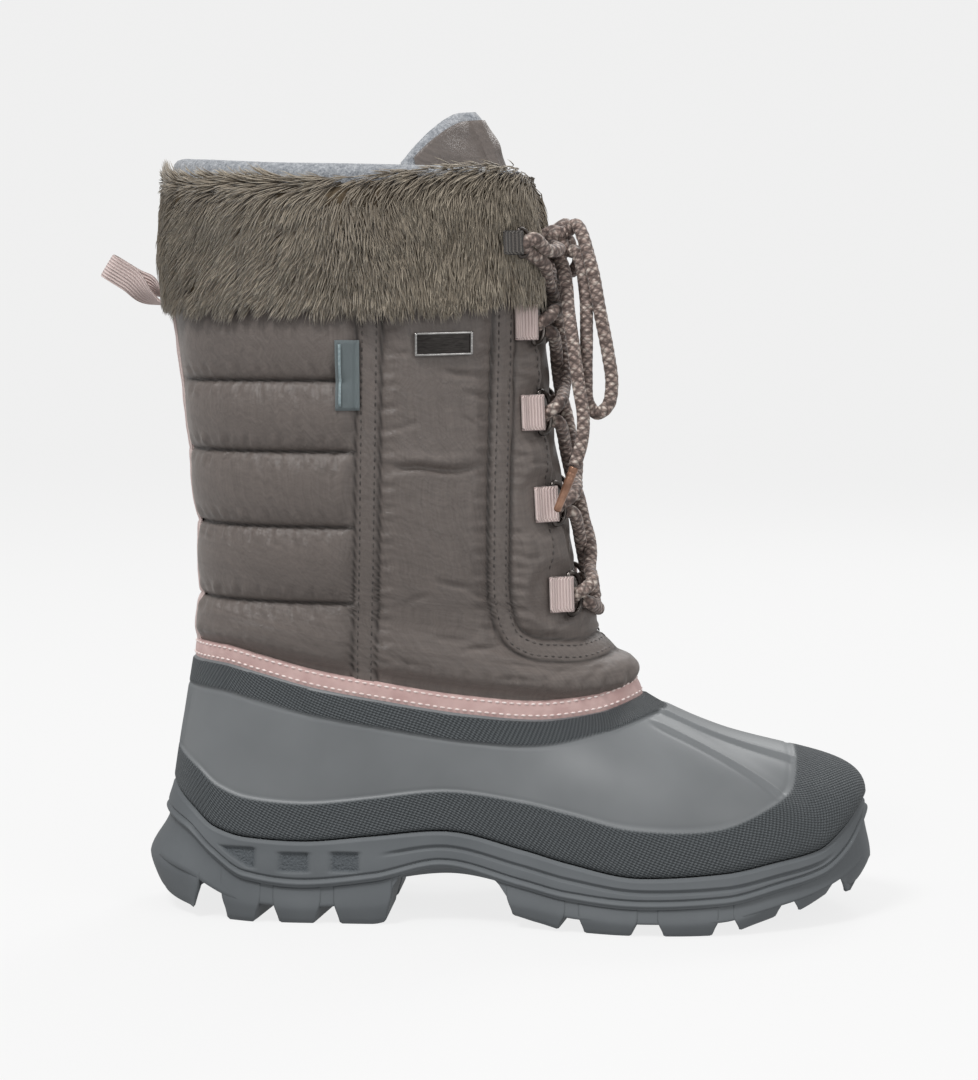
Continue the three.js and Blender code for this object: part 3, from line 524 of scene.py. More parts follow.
def tube(path, radius, sides=12, first=None, cap=True, closed=False):
    """Round profile carried along a path: centre + r(turn, place) (cos a N + sin a B). radius is a
    number or a (points, sides) array. Ends are closed by a last ring drawn to the middle."""
    normal, binormal = carried_frames(path, first)
    angle = 2 * np.pi * np.arange(sides) / sides
    radius = np.broadcast_to(np.asarray(radius, dtype=float), (len(path), sides))[..., None]
    ring = (np.cos(angle)[None, :, None] * normal[:, None]
            + np.sin(angle)[None, :, None] * binormal[:, None])
    points = path[:, None] + radius * ring
    if cap and not closed:
        first_end = np.repeat(path[:1, None], sides, axis=1) + ring[:1] * 0.02
        last_end = np.repeat(path[-1:, None], sides, axis=1) + ring[-1:] * 0.02
        points = np.concatenate([first_end, points, last_end])
    length = np.concatenate([[0], np.cumsum(np.linalg.norm(np.diff(points.mean(1), axis=0), axis=1))])
    v = np.repeat(length[:, None], sides, axis=1)
    u = np.repeat((np.arange(sides) / sides)[None], len(points), axis=0)
    faces = quads(len(points), sides, closed, True)
    return points, faces, grid_uv(u, v, closed, True)

# ------------------------------------------------------------------ materials


class Finish:
    """A material under construction: one Principled shader and the nodes that feed it."""

    def __init__(self, name, roughness, **settings):
        self.material = bpy.data.materials.new(name)
        self.material.use_nodes = True
        self.tree = self.material.node_tree
        self.shader = self.tree.nodes["Principled BSDF"]
        self.shader.inputs["Roughness"].default_value = roughness
        for key, value in settings.items():
            self.shader.inputs[key.replace("_", " ")].default_value = value

    def node(self, kind, inputs=(), **settings):
        made = self.tree.nodes.new(kind)
        for key, value in settings.items():
            setattr(made, key, value)
        for key, value in dict(inputs).items():
            if isinstance(value, bpy.types.NodeSocket):
                self.tree.links.new(value, made.inputs[key])
            else:
                made.inputs[key].default_value = value
        return made

    def math(self, operation, a, b=0.0, c=0.0):
        return self.node("ShaderNodeMath", {0: a, 1: b, 2: c}, operation=operation).outputs[0]

    def coordinates(self, kind="Object"):
        return self.node("ShaderNodeTexCoord").outputs[kind]

    def uv(self):
        """The piece's uv in millimetres, as two sockets."""
        split = self.node("ShaderNodeSeparateXYZ", {0: self.coordinates("UV")})
        return split.outputs[0], split.outputs[1]

    def attribute(self, name="shade"):
        return self.node("ShaderNodeAttribute", attribute_name=name).outputs["Fac"]

    def noise(self, scale, detail=3.0, roughness=0.5, stretch=None, kind="Object"):
        place = self.coordinates(kind)
        if stretch is not None:
            place = self.node("ShaderNodeMapping", {0: place, 3: stretch}).outputs[0]
        inputs = {"Vector": place, "Scale": scale, "Detail": detail, "Roughness": roughness}
        return self.node("ShaderNodeTexNoise", inputs).outputs[0]

    def wave(self, position, pitch):
        """Sine of period pitch along a socket's value, from -1 to 1."""
        return self.math("SINE", self.math("MULTIPLY", position, 2 * np.pi / pitch))

    def ramp(self, fac, *stops):
        made = self.node("ShaderNodeValToRGB", {0: fac})
        ramp = made.color_ramp
        while len(ramp.elements) < len(stops):
            ramp.elements.new(0.5)
        for element, (place, color) in zip(ramp.elements, stops):
            element.position = place
            element.color = (*linear(color), 1)
        return made.outputs[0]

    def blend(self, fac, a, b):
        made = self.node("ShaderNodeMix", {0: fac}, data_type="RGBA")
        for key, value in ((6, a), (7, b)):
            if isinstance(value, bpy.types.NodeSocket):
                self.tree.links.new(value, made.inputs[key])
            else:
                made.inputs[key].default_value = (*linear(value), 1)
        return made.outputs[2]

    def color(self, socket):
        if isinstance(socket, bpy.types.NodeSocket):
            self.tree.links.new(socket, self.shader.inputs["Base Color"])
        else:
            self.shader.inputs["Base Color"].default_value = (*linear(socket), 1)
        return self

    def roughen(self, socket):
        self.tree.links.new(socket, self.shader.inputs["Roughness"])
        return self

    def relief(self, *layers):
        """Bump layers in order; each is a height socket and its depth in metres."""
        previous = None
        for height, depth in layers:
            inputs = {"Height": height, "Distance": depth, "Strength": 1.0}
            if previous is not None:
                inputs["Normal"] = previous
            previous = self.node("ShaderNodeBump", inputs).outputs[0]
        self.tree.links.new(previous, self.shader.inputs["Normal"])
        return self.material


def linear(color):
    """0-255 display colour to the linear values that a shader reads."""
    s = np.asarray(color, dtype=float) / 255
    return np.where(s <= 0.04045, s / 12.92, ((s + 0.055) / 1.055) ** 2.4)


def moulded_rubber():
    """Satin grey rubber; where the shade attribute is 1 it is knurled in staggered grains."""
    finish = Finish("moulded_rubber", 0.5, Specular_IOR_Level=0.42)
    u, v = finish.uv()
    knurl = finish.attribute()
    pitch = 2.1
    slant = finish.wave(finish.math("ADD", u, finish.math("MULTIPLY", v, 0.62)), pitch)
    rows = finish.wave(finish.math("SUBTRACT", v, finish.math("MULTIPLY", u, 0.18)), pitch * 0.78)
    grain = finish.math("MULTIPLY", finish.math("ADD", finish.math("MULTIPLY", slant, rows), 0.3), knurl)
    cloud = finish.noise(26, 3)
    plain = finish.ramp(cloud, (0.3, (108, 111, 113)), (0.7, (118, 121, 123)))
    # The knurled band is a darker grey, and darkest in the low parts of the grain: painted shade in its pits.
    shaded_pits = finish.ramp(finish.math("MULTIPLY_ADD", grain, 0.5, 0.4), 
                       (0.1, (62, 66, 69)), (0.8, (92, 97, 100)))
    finish.color(finish.blend(knurl, plain, shaded_pits))
    finish.roughen(finish.math("MULTIPLY_ADD", knurl, 0.14, finish.math("MULTIPLY_ADD", cloud, 0.12, 0.4)))
    return finish.relief((grain, 0.00042), (finish.noise(900, 2), 0.00001))


def sole_rubber():
    """Matt grey rubber; where the shade attribute is 1 it is pebbled."""
    finish = Finish("sole_rubber", 0.62, Specular_IOR_Level=0.35)
    pebbled = finish.attribute()
    cloud = finish.noise(30, 4)
    pebbles = finish.math("MULTIPLY", finish.noise(1100, 2), pebbled)
    smooth_color = finish.ramp(cloud, (0.3, (92, 96, 99)), (0.7, (103, 107, 110)))
    finish.color(finish.blend(pebbled, smooth_color, (82, 87, 91)))
    finish.roughen(finish.math("MULTIPLY_ADD", cloud, 0.2, 0.5))
    return finish.relief((pebbles, 0.0008), (finish.noise(700, 3), 0.00002))


def nylon():
    """Taupe nylon: a fine plain weave along the uv, soft sheen and faint clouding; the shade attribute
    darkens it with painted shade along the seams.
    """
    finish = Finish("nylon", 0.42, Specular_IOR_Level=0.5, Sheen_Weight=0.25, Sheen_Roughness=0.4)
    finish.shader.inputs["Sheen Tint"].default_value = (*linear((200, 190, 184)), 1)
    u, v = finish.uv()
    weave = finish.math("MULTIPLY", finish.wave(u, 0.55), finish.wave(v, 0.55))
    streak = finish.noise(1.0, 2, 0.6, (0.9, 0.05, 1), "UV")
    cross = finish.noise(1.0, 2, 0.6, (0.05, 0.7, 1), "UV")
    threads = finish.math("MULTIPLY", finish.math("ADD", streak, cross), 0.5)
    cloth = finish.ramp(threads, (0.3, (92, 85, 81)), (0.7, (114, 105, 100)))
    # The shade attribute blends in dark brown-grey: painted shade along the seams and quilting lines.
    finish.color(finish.blend(finish.attribute(), cloth, (58, 52, 49)))
    finish.roughen(finish.math("MULTIPLY_ADD", threads, 0.25, 0.25))
    return finish.relief((finish.noise(120, 4, 0.6), 0.0007), (threads, 0.00008), (weave, 0.00003))


def pink_grosgrain():
    """Pale pink tape with ribs along its length."""
    finish = Finish("pink_grosgrain", 0.8, Sheen_Weight=0.2)
    u, v = finish.uv()
    ribs = finish.math("ADD", finish.wave(u, 1.25), finish.math("MULTIPLY", finish.wave(v, 0.5), 0.25))
    # Colour follows the ribs' height, darker between them: painted shade in the grooves.
    finish.color(finish.ramp(finish.math("MULTIPLY_ADD", ribs, 0.4, 0.5),
                             (0.05, (196, 172, 168)), (0.6, (229, 210, 205))))
    return finish.relief((ribs, 0.00022), (finish.noise(1500, 2), 0.00003))


def pink_binding():
    """Soft pink binding with a close weave."""
    finish = Finish("pink_binding", 0.6, Sheen_Weight=0.15, Specular_IOR_Level=0.4)
    u, v = finish.uv()
    weave = finish.math("MULTIPLY", finish.wave(u, 0.7), finish.wave(v, 0.7))
    finish.color(finish.ramp(finish.noise(160, 3), (0.3, (198, 164, 160)), (0.7, (216, 186, 181))))
    return finish.relief((finish.noise(300, 2), 0.0002), (weave, 0.00006))


def dark_webbing():
    finish = Finish("dark_webbing", 0.7, Sheen_Weight=0.2)
    u, v = finish.uv()
    ribs = finish.math("ADD", finish.wave(u, 1.5), finish.math("MULTIPLY", finish.wave(v, 0.6), 0.3))
    # Colour follows the ribs' height, darker between them: painted shade in the grooves.
    finish.color(finish.ramp(finish.math("MULTIPLY_ADD", ribs, 0.4, 0.5),
                             (0.1, (52, 48, 46)), (0.8, (104, 98, 93))))
    return finish.relief((ribs, 0.0003), (finish.noise(1300, 2), 0.00003))


def fur_backing():
    finish = Finish("fur_backing", 1.0, Specular_IOR_Level=0.1)
    finish.color(finish.ramp(finish.noise(120, 4), (0.3, (70, 60, 48)), (0.7, (104, 92, 76))))
    return finish.relief((finish.noise(500, 4), 0.001), (finish.noise(90, 3), 0.002))


def fur_hair():
    """Hair: uv x is each hair's own tone, uv y runs from root 0 to tip 1."""
    finish = Finish("fur_hair", 0.55, Specular_IOR_Level=0.3, Sheen_Weight=0.3)
    tone, reach = finish.uv()
    # Colour darkens towards the root: painted shade deep in the pile; each hair's tone picks between the two
    # ramps.
    by_length = finish.ramp(reach, (0.0, (84, 75, 64)), (0.35, (132, 121, 106)),
                            (0.75, (172, 161, 144)), (1.0, (208, 199, 183)))
    dark = finish.ramp(reach, (0.0, (62, 54, 45)), (0.6, (108, 97, 83)), (1.0, (148, 136, 118)))
    finish.color(finish.blend(tone, dark, by_length))
    return finish.relief((finish.noise(2500, 2), 0.00002))


def fleece():
    """Heather grey fleece: light and dark fibres mixed, with a short matted pile."""
    finish = Finish("fleece", 1.0, Sheen_Weight=0.4, Specular_IOR_Level=0.15)
    fibres = finish.noise(650, 5, 0.75)
    finish.color(finish.ramp(fibres, (0.3, (108, 113, 121)), (0.48, (152, 156, 162)),
                             (0.7, (199, 202, 206))))
    return finish.relief((fibres, 0.0009), (finish.noise(160, 3), 0.0012))


def gunmetal():
    finish = Finish("gunmetal", 0.3, Metallic=1.0)
    wear = finish.noise(240, 3)
    finish.color(finish.ramp(wear, (0.35, (62, 58, 56)), (0.75, (120, 114, 110))))
    finish.roughen(finish.math("MULTIPLY_ADD", wear, 0.3, 0.14))
    return finish.relief((finish.noise(900, 2), 0.00002))


def lace_braid():
    """Round braid of taupe, pink and cream strands: uv x runs round, uv y along in millimetres."""
    finish = Finish("lace_braid", 0.6, Sheen_Weight=0.2, Specular_IOR_Level=0.4)
    u, v = finish.uv()
    turns = finish.math("MULTIPLY", u, 4.0)
    climb = finish.math("MULTIPLY", v, 1 / 3.4)
    left = finish.math("FRACT", finish.math("ADD", turns, climb))
    right = finish.math("FRACT", finish.math("SUBTRACT", turns, climb))
    blocks = finish.math("MULTIPLY_ADD", finish.noise(0.30, 1, 0.5, (2.0, 1, 1), "UV"), 1.0, 0.0)
    fleck = finish.noise(1.0, 1, 0.5, (7.0, 1.1, 1), "UV")
    mix = finish.math("ADD", finish.math("MULTIPLY", blocks, 0.45), finish.math("MULTIPLY", fleck, 0.55))
    tint = finish.ramp(mix, (0.36, (98, 83, 78)), (0.46, (134, 116, 108)), (0.54, (190, 168, 158)),
                       (0.62, (232, 220, 208)))
    groove = finish.math("MULTIPLY", finish.math("PINGPONG", left, 0.5), finish.math("PINGPONG", right, 0.5))
    depth = finish.math("MULTIPLY", groove, 4.0)
    # Dark brown where the strands dip: painted shade in the grooves between them.
    finish.color(finish.blend(finish.math("POWER", depth, 0.45), (72, 61, 57), tint))
    return finish.relief((depth, 0.00045), (finish.noise(1600, 2), 0.00003))


def lace_tip():
    finish = Finish("lace_tip", 0.28, Metallic=0.55, Coat_Weight=0.5)
    finish.color(finish.ramp(finish.noise(300, 3), (0.3, (126, 90, 70)), (0.7, (178, 136, 112))))
    return finish.relief((finish.noise(600, 2), 0.00003))


def thread(name, dark, light):
    """Twisted sewing thread."""
    finish = Finish(name, 0.5, Sheen_Weight=0.2)
    finish.color(finish.ramp(finish.noise(900, 2), (0.35, dark), (0.65, light)))
    return finish.relief((finish.noise(2600, 2), 0.00004))


def woven_label():
    """Blue-grey woven label with a plain lighter stripe and no lettering."""
    finish = Finish("woven_label", 0.75, Sheen_Weight=0.2)
    u, v = finish.uv()
    weave = finish.math("MULTIPLY", finish.wave(u, 0.5), finish.wave(v, 0.4))
    # Colour follows the weave's height, darker in its low parts: painted shade between the threads.
    finish.color(finish.ramp(finish.math("MULTIPLY_ADD", weave, 0.5, 0.5),
                             (0.1, (88, 98, 101)), (0.9, (124, 134, 136))))
    return finish.relief((weave, 0.00008), (finish.noise(700, 2), 0.00004))


def plate_metal(name, dark, light, roughness):
    finish = Finish(name, roughness, Metallic=1.0)
    brushed = finish.noise(300, 3, 0.6, (1, 1, 12))
    finish.color(finish.ramp(brushed, (0.3, dark), (0.7, light)))
    return finish.relief((brushed, 0.00002))

# ------------------------------------------------------------------ camera and light


def set_camera():
    """Long lens at the height of the laces, level across, turned a little to the heel."""
    yaw, distance, height, middle = np.radians(4.0), 1000.0, 228.0, 138.2
    place = np.array([middle + distance * np.sin(yaw), -distance * np.cos(yaw), height])
    camera = bpy.data.objects.new("camera", bpy.data.cameras.new("camera"))
    camera.data.lens = 83.3
    camera.data.sensor_width = 36.0
    camera.data.clip_end = 50.0
    camera.location = Vector(placed(place))
    down = np.arctan2(200.0, 2500.0)
    camera.rotation_euler = (np.pi / 2 - down, 0.0, yaw)
    bpy.context.collection.objects.link(camera)
    bpy.context.scene.camera = camera


WORLD_LIGHT = 0.55
KEY_LIGHT = 30.0
FILL_LIGHT = 7.0
RIM_LIGHT = 12.0
FLOOR_GLOW = 0.80
FLOOR_BOUNCE = 0.40


def area_light(name, place, aim, size, power, color=(1, 1, 1)):
    light = bpy.data.lights.new(name, "AREA")
    light.shape = "DISK"
    light.size = size
    light.energy = power
    light.color = color
    obj = bpy.data.objects.new(name, light)
    obj.location = place
    obj.rotation_euler = (Vector(aim) - Vector(place)).to_track_quat("-Z", "Y").to_euler()
    bpy.context.collection.objects.link(obj)


def studio():
    """Pale floor that curves up into a far wall all round, and a soft, nearly even studio light."""
    turn = np.linspace(0, 2 * np.pi, 96, endpoint=False)
    bend = np.linspace(0, np.pi / 2, 16)
    radius, rise = 4000.0, 2500.0
    out = np.concatenate([[0.01, 500.0, 2000.0], radius + rise * np.sin(bend)])
    up = np.concatenate([[0.0, 0.0, 0.0], rise * (1 - np.cos(bend))])
    points = stack(out[:, None] * np.cos(turn), out[:, None] * np.sin(turn), up[:, None]) + ORIGIN
    floor = make_object("floor", points, quads(len(out), len(turn), False, True))
    paper = Finish("floor_paper", 1.0, Specular_IOR_Level=0.0)
    paper.color((98, 98, 98))
    seen = paper.node("ShaderNodeLightPath").outputs["Is Camera Ray"]
    paper.shader.inputs["Emission Color"].default_value = (1, 1, 1, 1)
    glow = paper.math("MULTIPLY_ADD", seen, FLOOR_GLOW - FLOOR_BOUNCE, FLOOR_BOUNCE)
    paper.tree.links.new(glow, paper.shader.inputs["Emission Strength"])
    floor.data.materials.append(paper.material)
    world = bpy.data.worlds.new("studio")
    world.use_nodes = True
    background = world.node_tree.nodes["Background"]
    background.inputs["Color"].default_value = (1.0, 0.995, 0.985, 1)
    background.inputs["Strength"].default_value = WORLD_LIGHT
    bpy.context.scene.world = world
    area_light("key", (-0.7, -1.1, 1.9), (0, 0, 0.13), 0.6, KEY_LIGHT)
    area_light("fill", (1.4, -1.3, 0.9), (0, 0, 0.13), 1.0, FILL_LIGHT)
    area_light("rim", (0.6, 1.5, 1.6), (0, 0, 0.15), 0.8, RIM_LIGHT)
    bpy.context.scene.view_settings.view_transform = "Standard"


# ------------------------------------------------------------------ the lace


def leg_points(rows):
    """Points from rows of angle round the leg, height and distance out from it."""
    rows = np.asarray(rows, dtype=float)
    return leg(rows[:, 0], rows[:, 1], rows[:, 2])


KNOT_CENTRE = np.array([164.0, 0.0, 267.0])
KNOT_RADII = np.array([7.6, 8.6, 6.8])


def beside_knot(x, y, z):
    """Two points outside the knot along a direction, the nearer one first."""
    direction = unit(np.array([x, y, z], dtype=float))
    surface = 1 / np.linalg.norm(direction / KNOT_RADII)
    return np.array([KNOT_CENTRE + direction * (surface + beyond) for beyond in (0.5, 4.5)])


OUTER_LOOP = np.vstack([
    beside_knot(0.75, -0.4, 0.53),
    [
        [179.2, -12.6, 257],
        [182.6, -15.5, 240],
        [186, -17.5, 223],
        [187.6, -19, 211],
        [186.2, -20, 202.6],
        [182, -20.5, 199.5],
        [178.4, -20.2, 203.5],
        [177.6, -19, 214],
        [177.6, -16.5, 230],
        [177, -12, 246],
    ],
    beside_knot(0.8, -0.4, -0.45)[::-1],
])
OUTER_END = np.vstack([
    beside_knot(0.3, -0.45, -0.84),
    [
        [169.6, -13.5, 249.4],
        [170.6, -20.5, 240],
        [172.6, -25, 227],
        [175, -27, 210],
        [176.8, -28, 198.5],
        [176.2, -29, 188.5],
        [173.6, -30, 179.4],
    ],
])
OUTER_TIP = np.array([[173.4, -30.1, 178.8], [170.2, -31, 170.5], [166.6, -32, 161.6]])
INNER_LOOP = np.vstack([
    beside_knot(0.35, 0.75, 0.55),
    leg_points([
        (-23, 273, 11.5),
        (-33, 269.5, 14.8),
        (-42, 260, 14.8),
        (-49, 247, 11.4),
        (-53, 232, 8),
        (-55, 219, 6.4),
        (-52.5, 210.5, 5.6),
        (-47.5, 210.5, 5.8),
        (-44, 219, 6.8),
        (-41, 232, 9),
        (-35, 246, 10.8),
        (-24, 254.5, 11.2),
        (-13, 256.5, 12.6),
    ]),
    beside_knot(0.78, 0.5, -0.36)[::-1],
])
INNER_END = np.vstack([
    beside_knot(0.3, 0.45, -0.84),
    leg_points([
        (-16.5, 250.5, 9.6),
        (-25, 244, 9.6),
        (-31, 234, 8.4),
        (-35, 220, 7),
        (-37, 207, 7.2),
        (-38, 196, 6.6),
    ]),
])
INNER_TIP = leg_points([(-38, 195.4, 6.6), (-38.5, 187, 5.6), (-39, 177.6, 5)])


BRAID_STEP = 0.55


def braided(points, radius=LACE_RADIUS, first=None, sides=16):
    """Round braid along a curve: a tube whose radius swells where the strands cross, as
    r (1 + 0.07 |sin 4(a + kv)| |sin 4(a - kv)|), a round it and v along it."""
    length = spline(points, 8)[1]
    path, _ = spline(points, int(length / BRAID_STEP))
    angle = np.arange(sides) / sides
    v = np.arange(len(path))[:, None] * length / (len(path) - 1) / 3.4
    weave = np.abs(np.sin(np.pi * (4 * angle + v))) * np.abs(np.sin(np.pi * (4 * angle - v)))
    swell = radius * (0.97 + 0.06 * weave)
    return tube(path, swell, sides, first), path, length


def free_cord(name, points, node):
    """Braided mesh of one free stretch of lace."""
    mesh, path, length = braided(points)
    obj = make_object(name, *mesh)
    settle(obj, MATERIALS["lace"], (node,))
    placed(path).tolist()
    return obj


def aglet(name, points, node):
    """Crimped tip: a tube that narrows from the braid to a rounded point, with two pressed rings."""
    path, _ = spline(points, 48)
    share = np.linspace(0, 1, len(path))
    radius = LACE_RADIUS * lerp(0.74, 0.58, smooth(share, 0, 1))
    radius = radius - 0.16 * (bump(share, 0.12, 0.04) + bump(share, 0.22, 0.04))
    radius = radius * np.sqrt(np.clip(1 - ((share - 0.95) / 0.05).clip(0, 0.98) ** 2, 0, 1))
    obj = make_object(name, *tube(path, radius[:, None], 18))
    return settle(obj, MATERIALS["lace_tip"], (node,))


def make_cords():
    outer_tip = aglet("lace_tip_outer_piece", OUTER_TIP, "lace_tip_outer")
    inner_tip = aglet("lace_tip_inner_piece", INNER_TIP, "lace_tip_inner")
    free_cord("lace_loop_outer_braid", OUTER_LOOP, "lace_loop_outer")
    free_cord("lace_loop_inner_braid", INNER_LOOP, "lace_loop_inner")
    free_cord("lace_end_outer_braid", OUTER_END, "lace_end_outer")
    free_cord("lace_end_inner_braid", INNER_END, "lace_end_inner")

# ------------------------------------------------------------------ sole

SOLE_COLUMNS = 560
SPINE_FROM, SPINE_TO, SPINE_Y = 42.0, 252.0, 2.0


def drawn_in(x, y, share):
    """Plan point drawn in to the spine of the sole; share 1 at the edge, 0 on the spine."""
    return lerp(np.clip(x, SPINE_FROM, SPINE_TO), x, share), lerp(SPINE_Y, y, share)


def box_share(x, low, high, edge):
    """1 between low and high, falling softly to 0 over edge."""
    return smooth(x, low, low + edge) * (1 - smooth(x, high - edge, high))


def heel_windows(x, z):
    """Share of the sunk pebbled windows in the heel: one with a slanted lower edge, two upright."""
    first_floor = lerp(31.0, 21.0, np.clip((x - 33.7) / 13.0, 0, 1) ** 0.7)
    first_height = smooth(z, first_floor, first_floor + 1.2) * (1 - smooth(z, 28.6, 30.2))
    first = box_share(x, 33.9, 49.6, 1.4) * first_height
    second = box_share(x, 58.0, 71.0, 1.4) * box_share(z, 19.6, 28.6, 1.4)
    third = box_share(x, 78.2, 90.4, 1.4) * box_share(z, 20.0, 29.0, 1.4)
    return np.maximum(first, np.maximum(second, third))


def sole_wall(turn, share):
    """Side wall of the sole at shares from the rim (0) to the lugs (1): it leans out to foot_out,
    less a round rim edge, a channel along the waist and forefoot, a bead over the lugs and the
    heel windows. Gives the points and the share of pebbled surface."""
    x0, _ = outline(turn)
    rim, low = side_line(x0, "rim"), side_line(x0, "foot")
    z = lerp(rim, low, share)
    lean = side_line(x0, "foot_out") * (0.25 + 0.75 * smooth(share, 0.0, 0.8))
    rim_edge = -0.9 * (1 - smooth((rim - z), 0.0, 1.6))
    channel_share = 0.43 + 0.05 * smooth(x0, 180, 260)
    channel = -1.1 * bump((share - channel_share) * (rim - low), 0, 1.3) * box_share(x0, 97, 276, 10)
    step = -0.55 * smooth(share, channel_share, channel_share + 0.02) * box_share(x0, 97, 276, 10)
    above_foot = (1 - share) * (rim - low)
    bead = 0.75 * bump(above_foot, 1.5, 1.3) - 0.8 * bump(above_foot, 3.2, 0.8)
    window = heel_windows(x0, z)
    out = 0.4 + lean + rim_edge + channel + step * 0.6 + bead - 1.5 * window
    x, y = outline(turn, out)
    return stack(x, y, z), window


SKIRT_DEPTH = 0.5
SKIRT_UNDERSIDE = (
    (0.5, 0.35, 0.0), (1.4, 0.5, 0.0), (4.0, 0.3, 0.15), (7.0, 0.0, 0.5), (9.0, 0.0, 1.0),
)


def kick_swell(x, down):
    """How far the lugs stand out at a share down from the wall to the ground, and the height
    there: they swell from the wall's foot to the kick line, then tuck in to the ground."""
    foot_out, kick_out, tread_out = (side_line(x, k) for k in ("foot_out", "kick_out", "tread_out"))
    low, kick, ground = side_line(x, "foot"), side_line(x, "kick"), sole_height(x, "ground")
    kick_share = np.clip((low - kick) / np.maximum(low - ground, 1), 0.2, 0.85)
    above = lerp(foot_out - 0.5, kick_out, smooth(down, 0.0, kick_share))
    below = lerp(kick_out, tread_out, smooth(down, kick_share * 0.9, 1.15))
    return np.where(down < kick_share, above, below), lerp(low, ground, down)


def skirt_rings(x):
    """The band above the grooves that joins the lugs, rolled in at its lower edge and rising
    inwards to the underside; there is none over the arch."""
    depth = SKIRT_DEPTH * (1 - box_share(x, 99.0, 151.0, 8.0))
    for share in np.linspace(0.0, 1.0, 9):
        out, z = kick_swell(x, depth * share)
        yield out - 0.15, z
    out, z = kick_swell(x, depth)
    base = sole_height(x, "base")
    for inset, drop, rise in SKIRT_UNDERSIDE:
        yield out - inset, lerp(z - drop, base, rise)


def sole_body():
    """Rings from the footbed, over the rim, down the side wall and in under the foot to the spine."""
    turn = np.linspace(0, 1, SOLE_COLUMNS, endpoint=False)
    x_edge, _ = outline(turn)
    bed_x, bed_y = outline(turn, -SOLE_CUP_WALL - 1)
    rings, pebbles = [], []

    def add(x, y, z, pebbled=0.0):
        rings.append(stack(x, y, z))
        pebbles.append(np.broadcast_to(pebbled, turn.shape))

    for share in (0.02, 0.35, 0.7, 1.0):
        x, y = drawn_in(bed_x, bed_y, share)
        add(x, y, sole_height(x, "floor"))
    for outward, drop in ((-SOLE_CUP_WALL, 0.6), (-SOLE_CUP_WALL + 0.7, 0.0), (-1.2, 0.0), (-0.2, 0.15)):
        add(*outline(turn, outward), side_line(x_edge, "rim") - drop)
    for share in np.linspace(0.0, 1.0, 58):
        points, window = sole_wall(turn, share)
        add(points[:, 0], points[:, 1], points[:, 2], window)
    for outward, z in skirt_rings(x_edge):
        add(*outline(turn, outward), z)
    base_x, base_y = outline(turn, kick_swell(x_edge, SKIRT_DEPTH)[0] - 9.5)
    for share in (0.96, 0.8, 0.6, 0.4, 0.2, 0.02):
        x, y = drawn_in(base_x, base_y, share)
        add(x, y, sole_height(x, "base"))
    return np.array(rings), np.array(pebbles)


def turn_at(x, side):
    """Turn round the sole where its outline has a given x, on one side."""
    fine = np.linspace(0.0, 0.5, 1500) if side == OUTER else np.linspace(1.0, 0.5, 1500)
    place = around_ribs("x", fine)
    peak = int(np.argmax(place))
    low = int(np.argmin(place[: len(place) // 4]))
    return np.interp(x, place[low:peak + 1], fine[low:peak + 1])


LUG_EDGE_STEPS = 26
CHANNEL_HALF = 3.0


def lug_edge_turns(start, end, side):
    """Turns along a lug's outer edge; an end lug runs right round the heel or the toe."""
    if side == "heel":
        return np.linspace(turn_at(end, INNER) - 1.0, turn_at(end, OUTER), 2 * LUG_EDGE_STEPS)
    if side == "toe":
        return np.linspace(turn_at(start, OUTER), turn_at(start, INNER), 2 * LUG_EDGE_STEPS)
    return turn_at(np.linspace(start, end, LUG_EDGE_STEPS), side)


def swept(y, edge_y, sweep):
    """How far a groove lies forward of its ends at a distance y from the middle."""
    return sweep * (1 - np.clip(np.abs(y) / max(abs(edge_y), 1.0), 0, 1))


def lug_ring(start, end, sweeps, side, outward, inset):
    """Plan of one lug at one height: its outer edge, then back along the grooves and channel."""
    turns = lug_edge_turns(start, end, side)
    edge_x, edge_y = outline(turns, outward)
    first, last = np.array([edge_x[0], edge_y[0]]), np.array([edge_x[-1], edge_y[-1]])
    steps = np.linspace(0, 1, 12)[1:-1]
    edge_x, edge_y = edge_x.copy(), edge_y.copy()
    middle = np.linspace(0, 1, LUG_EDGE_STEPS if side in (OUTER, INNER) else len(turns))
    if side in (OUTER, INNER):
        edge_x = edge_x + inset * (1 - 2 * middle)
        channel_y = -side * CHANNEL_HALF + SPINE_Y - side * inset
        y_in = lerp(edge_y[-1], channel_y, np.append(steps, 1.0))
        front = np.stack([end - inset + swept(y_in, edge_y[-1], sweeps[1]), y_in], -1)
        y_out = lerp(channel_y, edge_y[0], np.append(0.0, steps))
        rear = np.stack([start + inset + swept(y_out, edge_y[0], sweeps[0]), y_out], -1)
        loop = np.vstack([np.stack([edge_x, edge_y], -1), front, rear])
        edge = np.zeros(len(loop))
        edge[: len(edge_x)] = 1
        return loop, edge
    at = end if side == "heel" else start
    sweep = sweeps[1] if side == "heel" else sweeps[0]
    shift = -inset if side == "heel" else inset
    y_back = lerp(last[1], first[1], np.linspace(0, 1, 22)[1:-1])
    across = np.stack([at + shift + swept(y_back, max(abs(first[1]), abs(last[1])), sweep), y_back], -1)
    pull = np.minimum(np.minimum(middle, 1 - middle) * 12, 1)
    edge_x = edge_x + shift * (1 - pull)
    loop = np.vstack([np.stack([edge_x, edge_y], -1), across])
    edge = np.zeros(len(loop))
    edge[: len(edge_x)] = 1
    return loop, edge


LUG_DRAFT = 2.4


def squared_ends(x, start, end, side):
    """Shift that brings both ends of a lug's outer edge to its grooves, fading along the edge."""
    m = np.linspace(0, 1, len(x))
    if side in (OUTER, INNER):
        return lerp(start - x[0], end - x[-1], m)
    target = end if side == "heel" else start
    fade = 1 - smooth(np.minimum(m, 1 - m), 0.0, 0.3)
    return np.where(m < 0.5, target - x[0], target - x[-1]) * fade


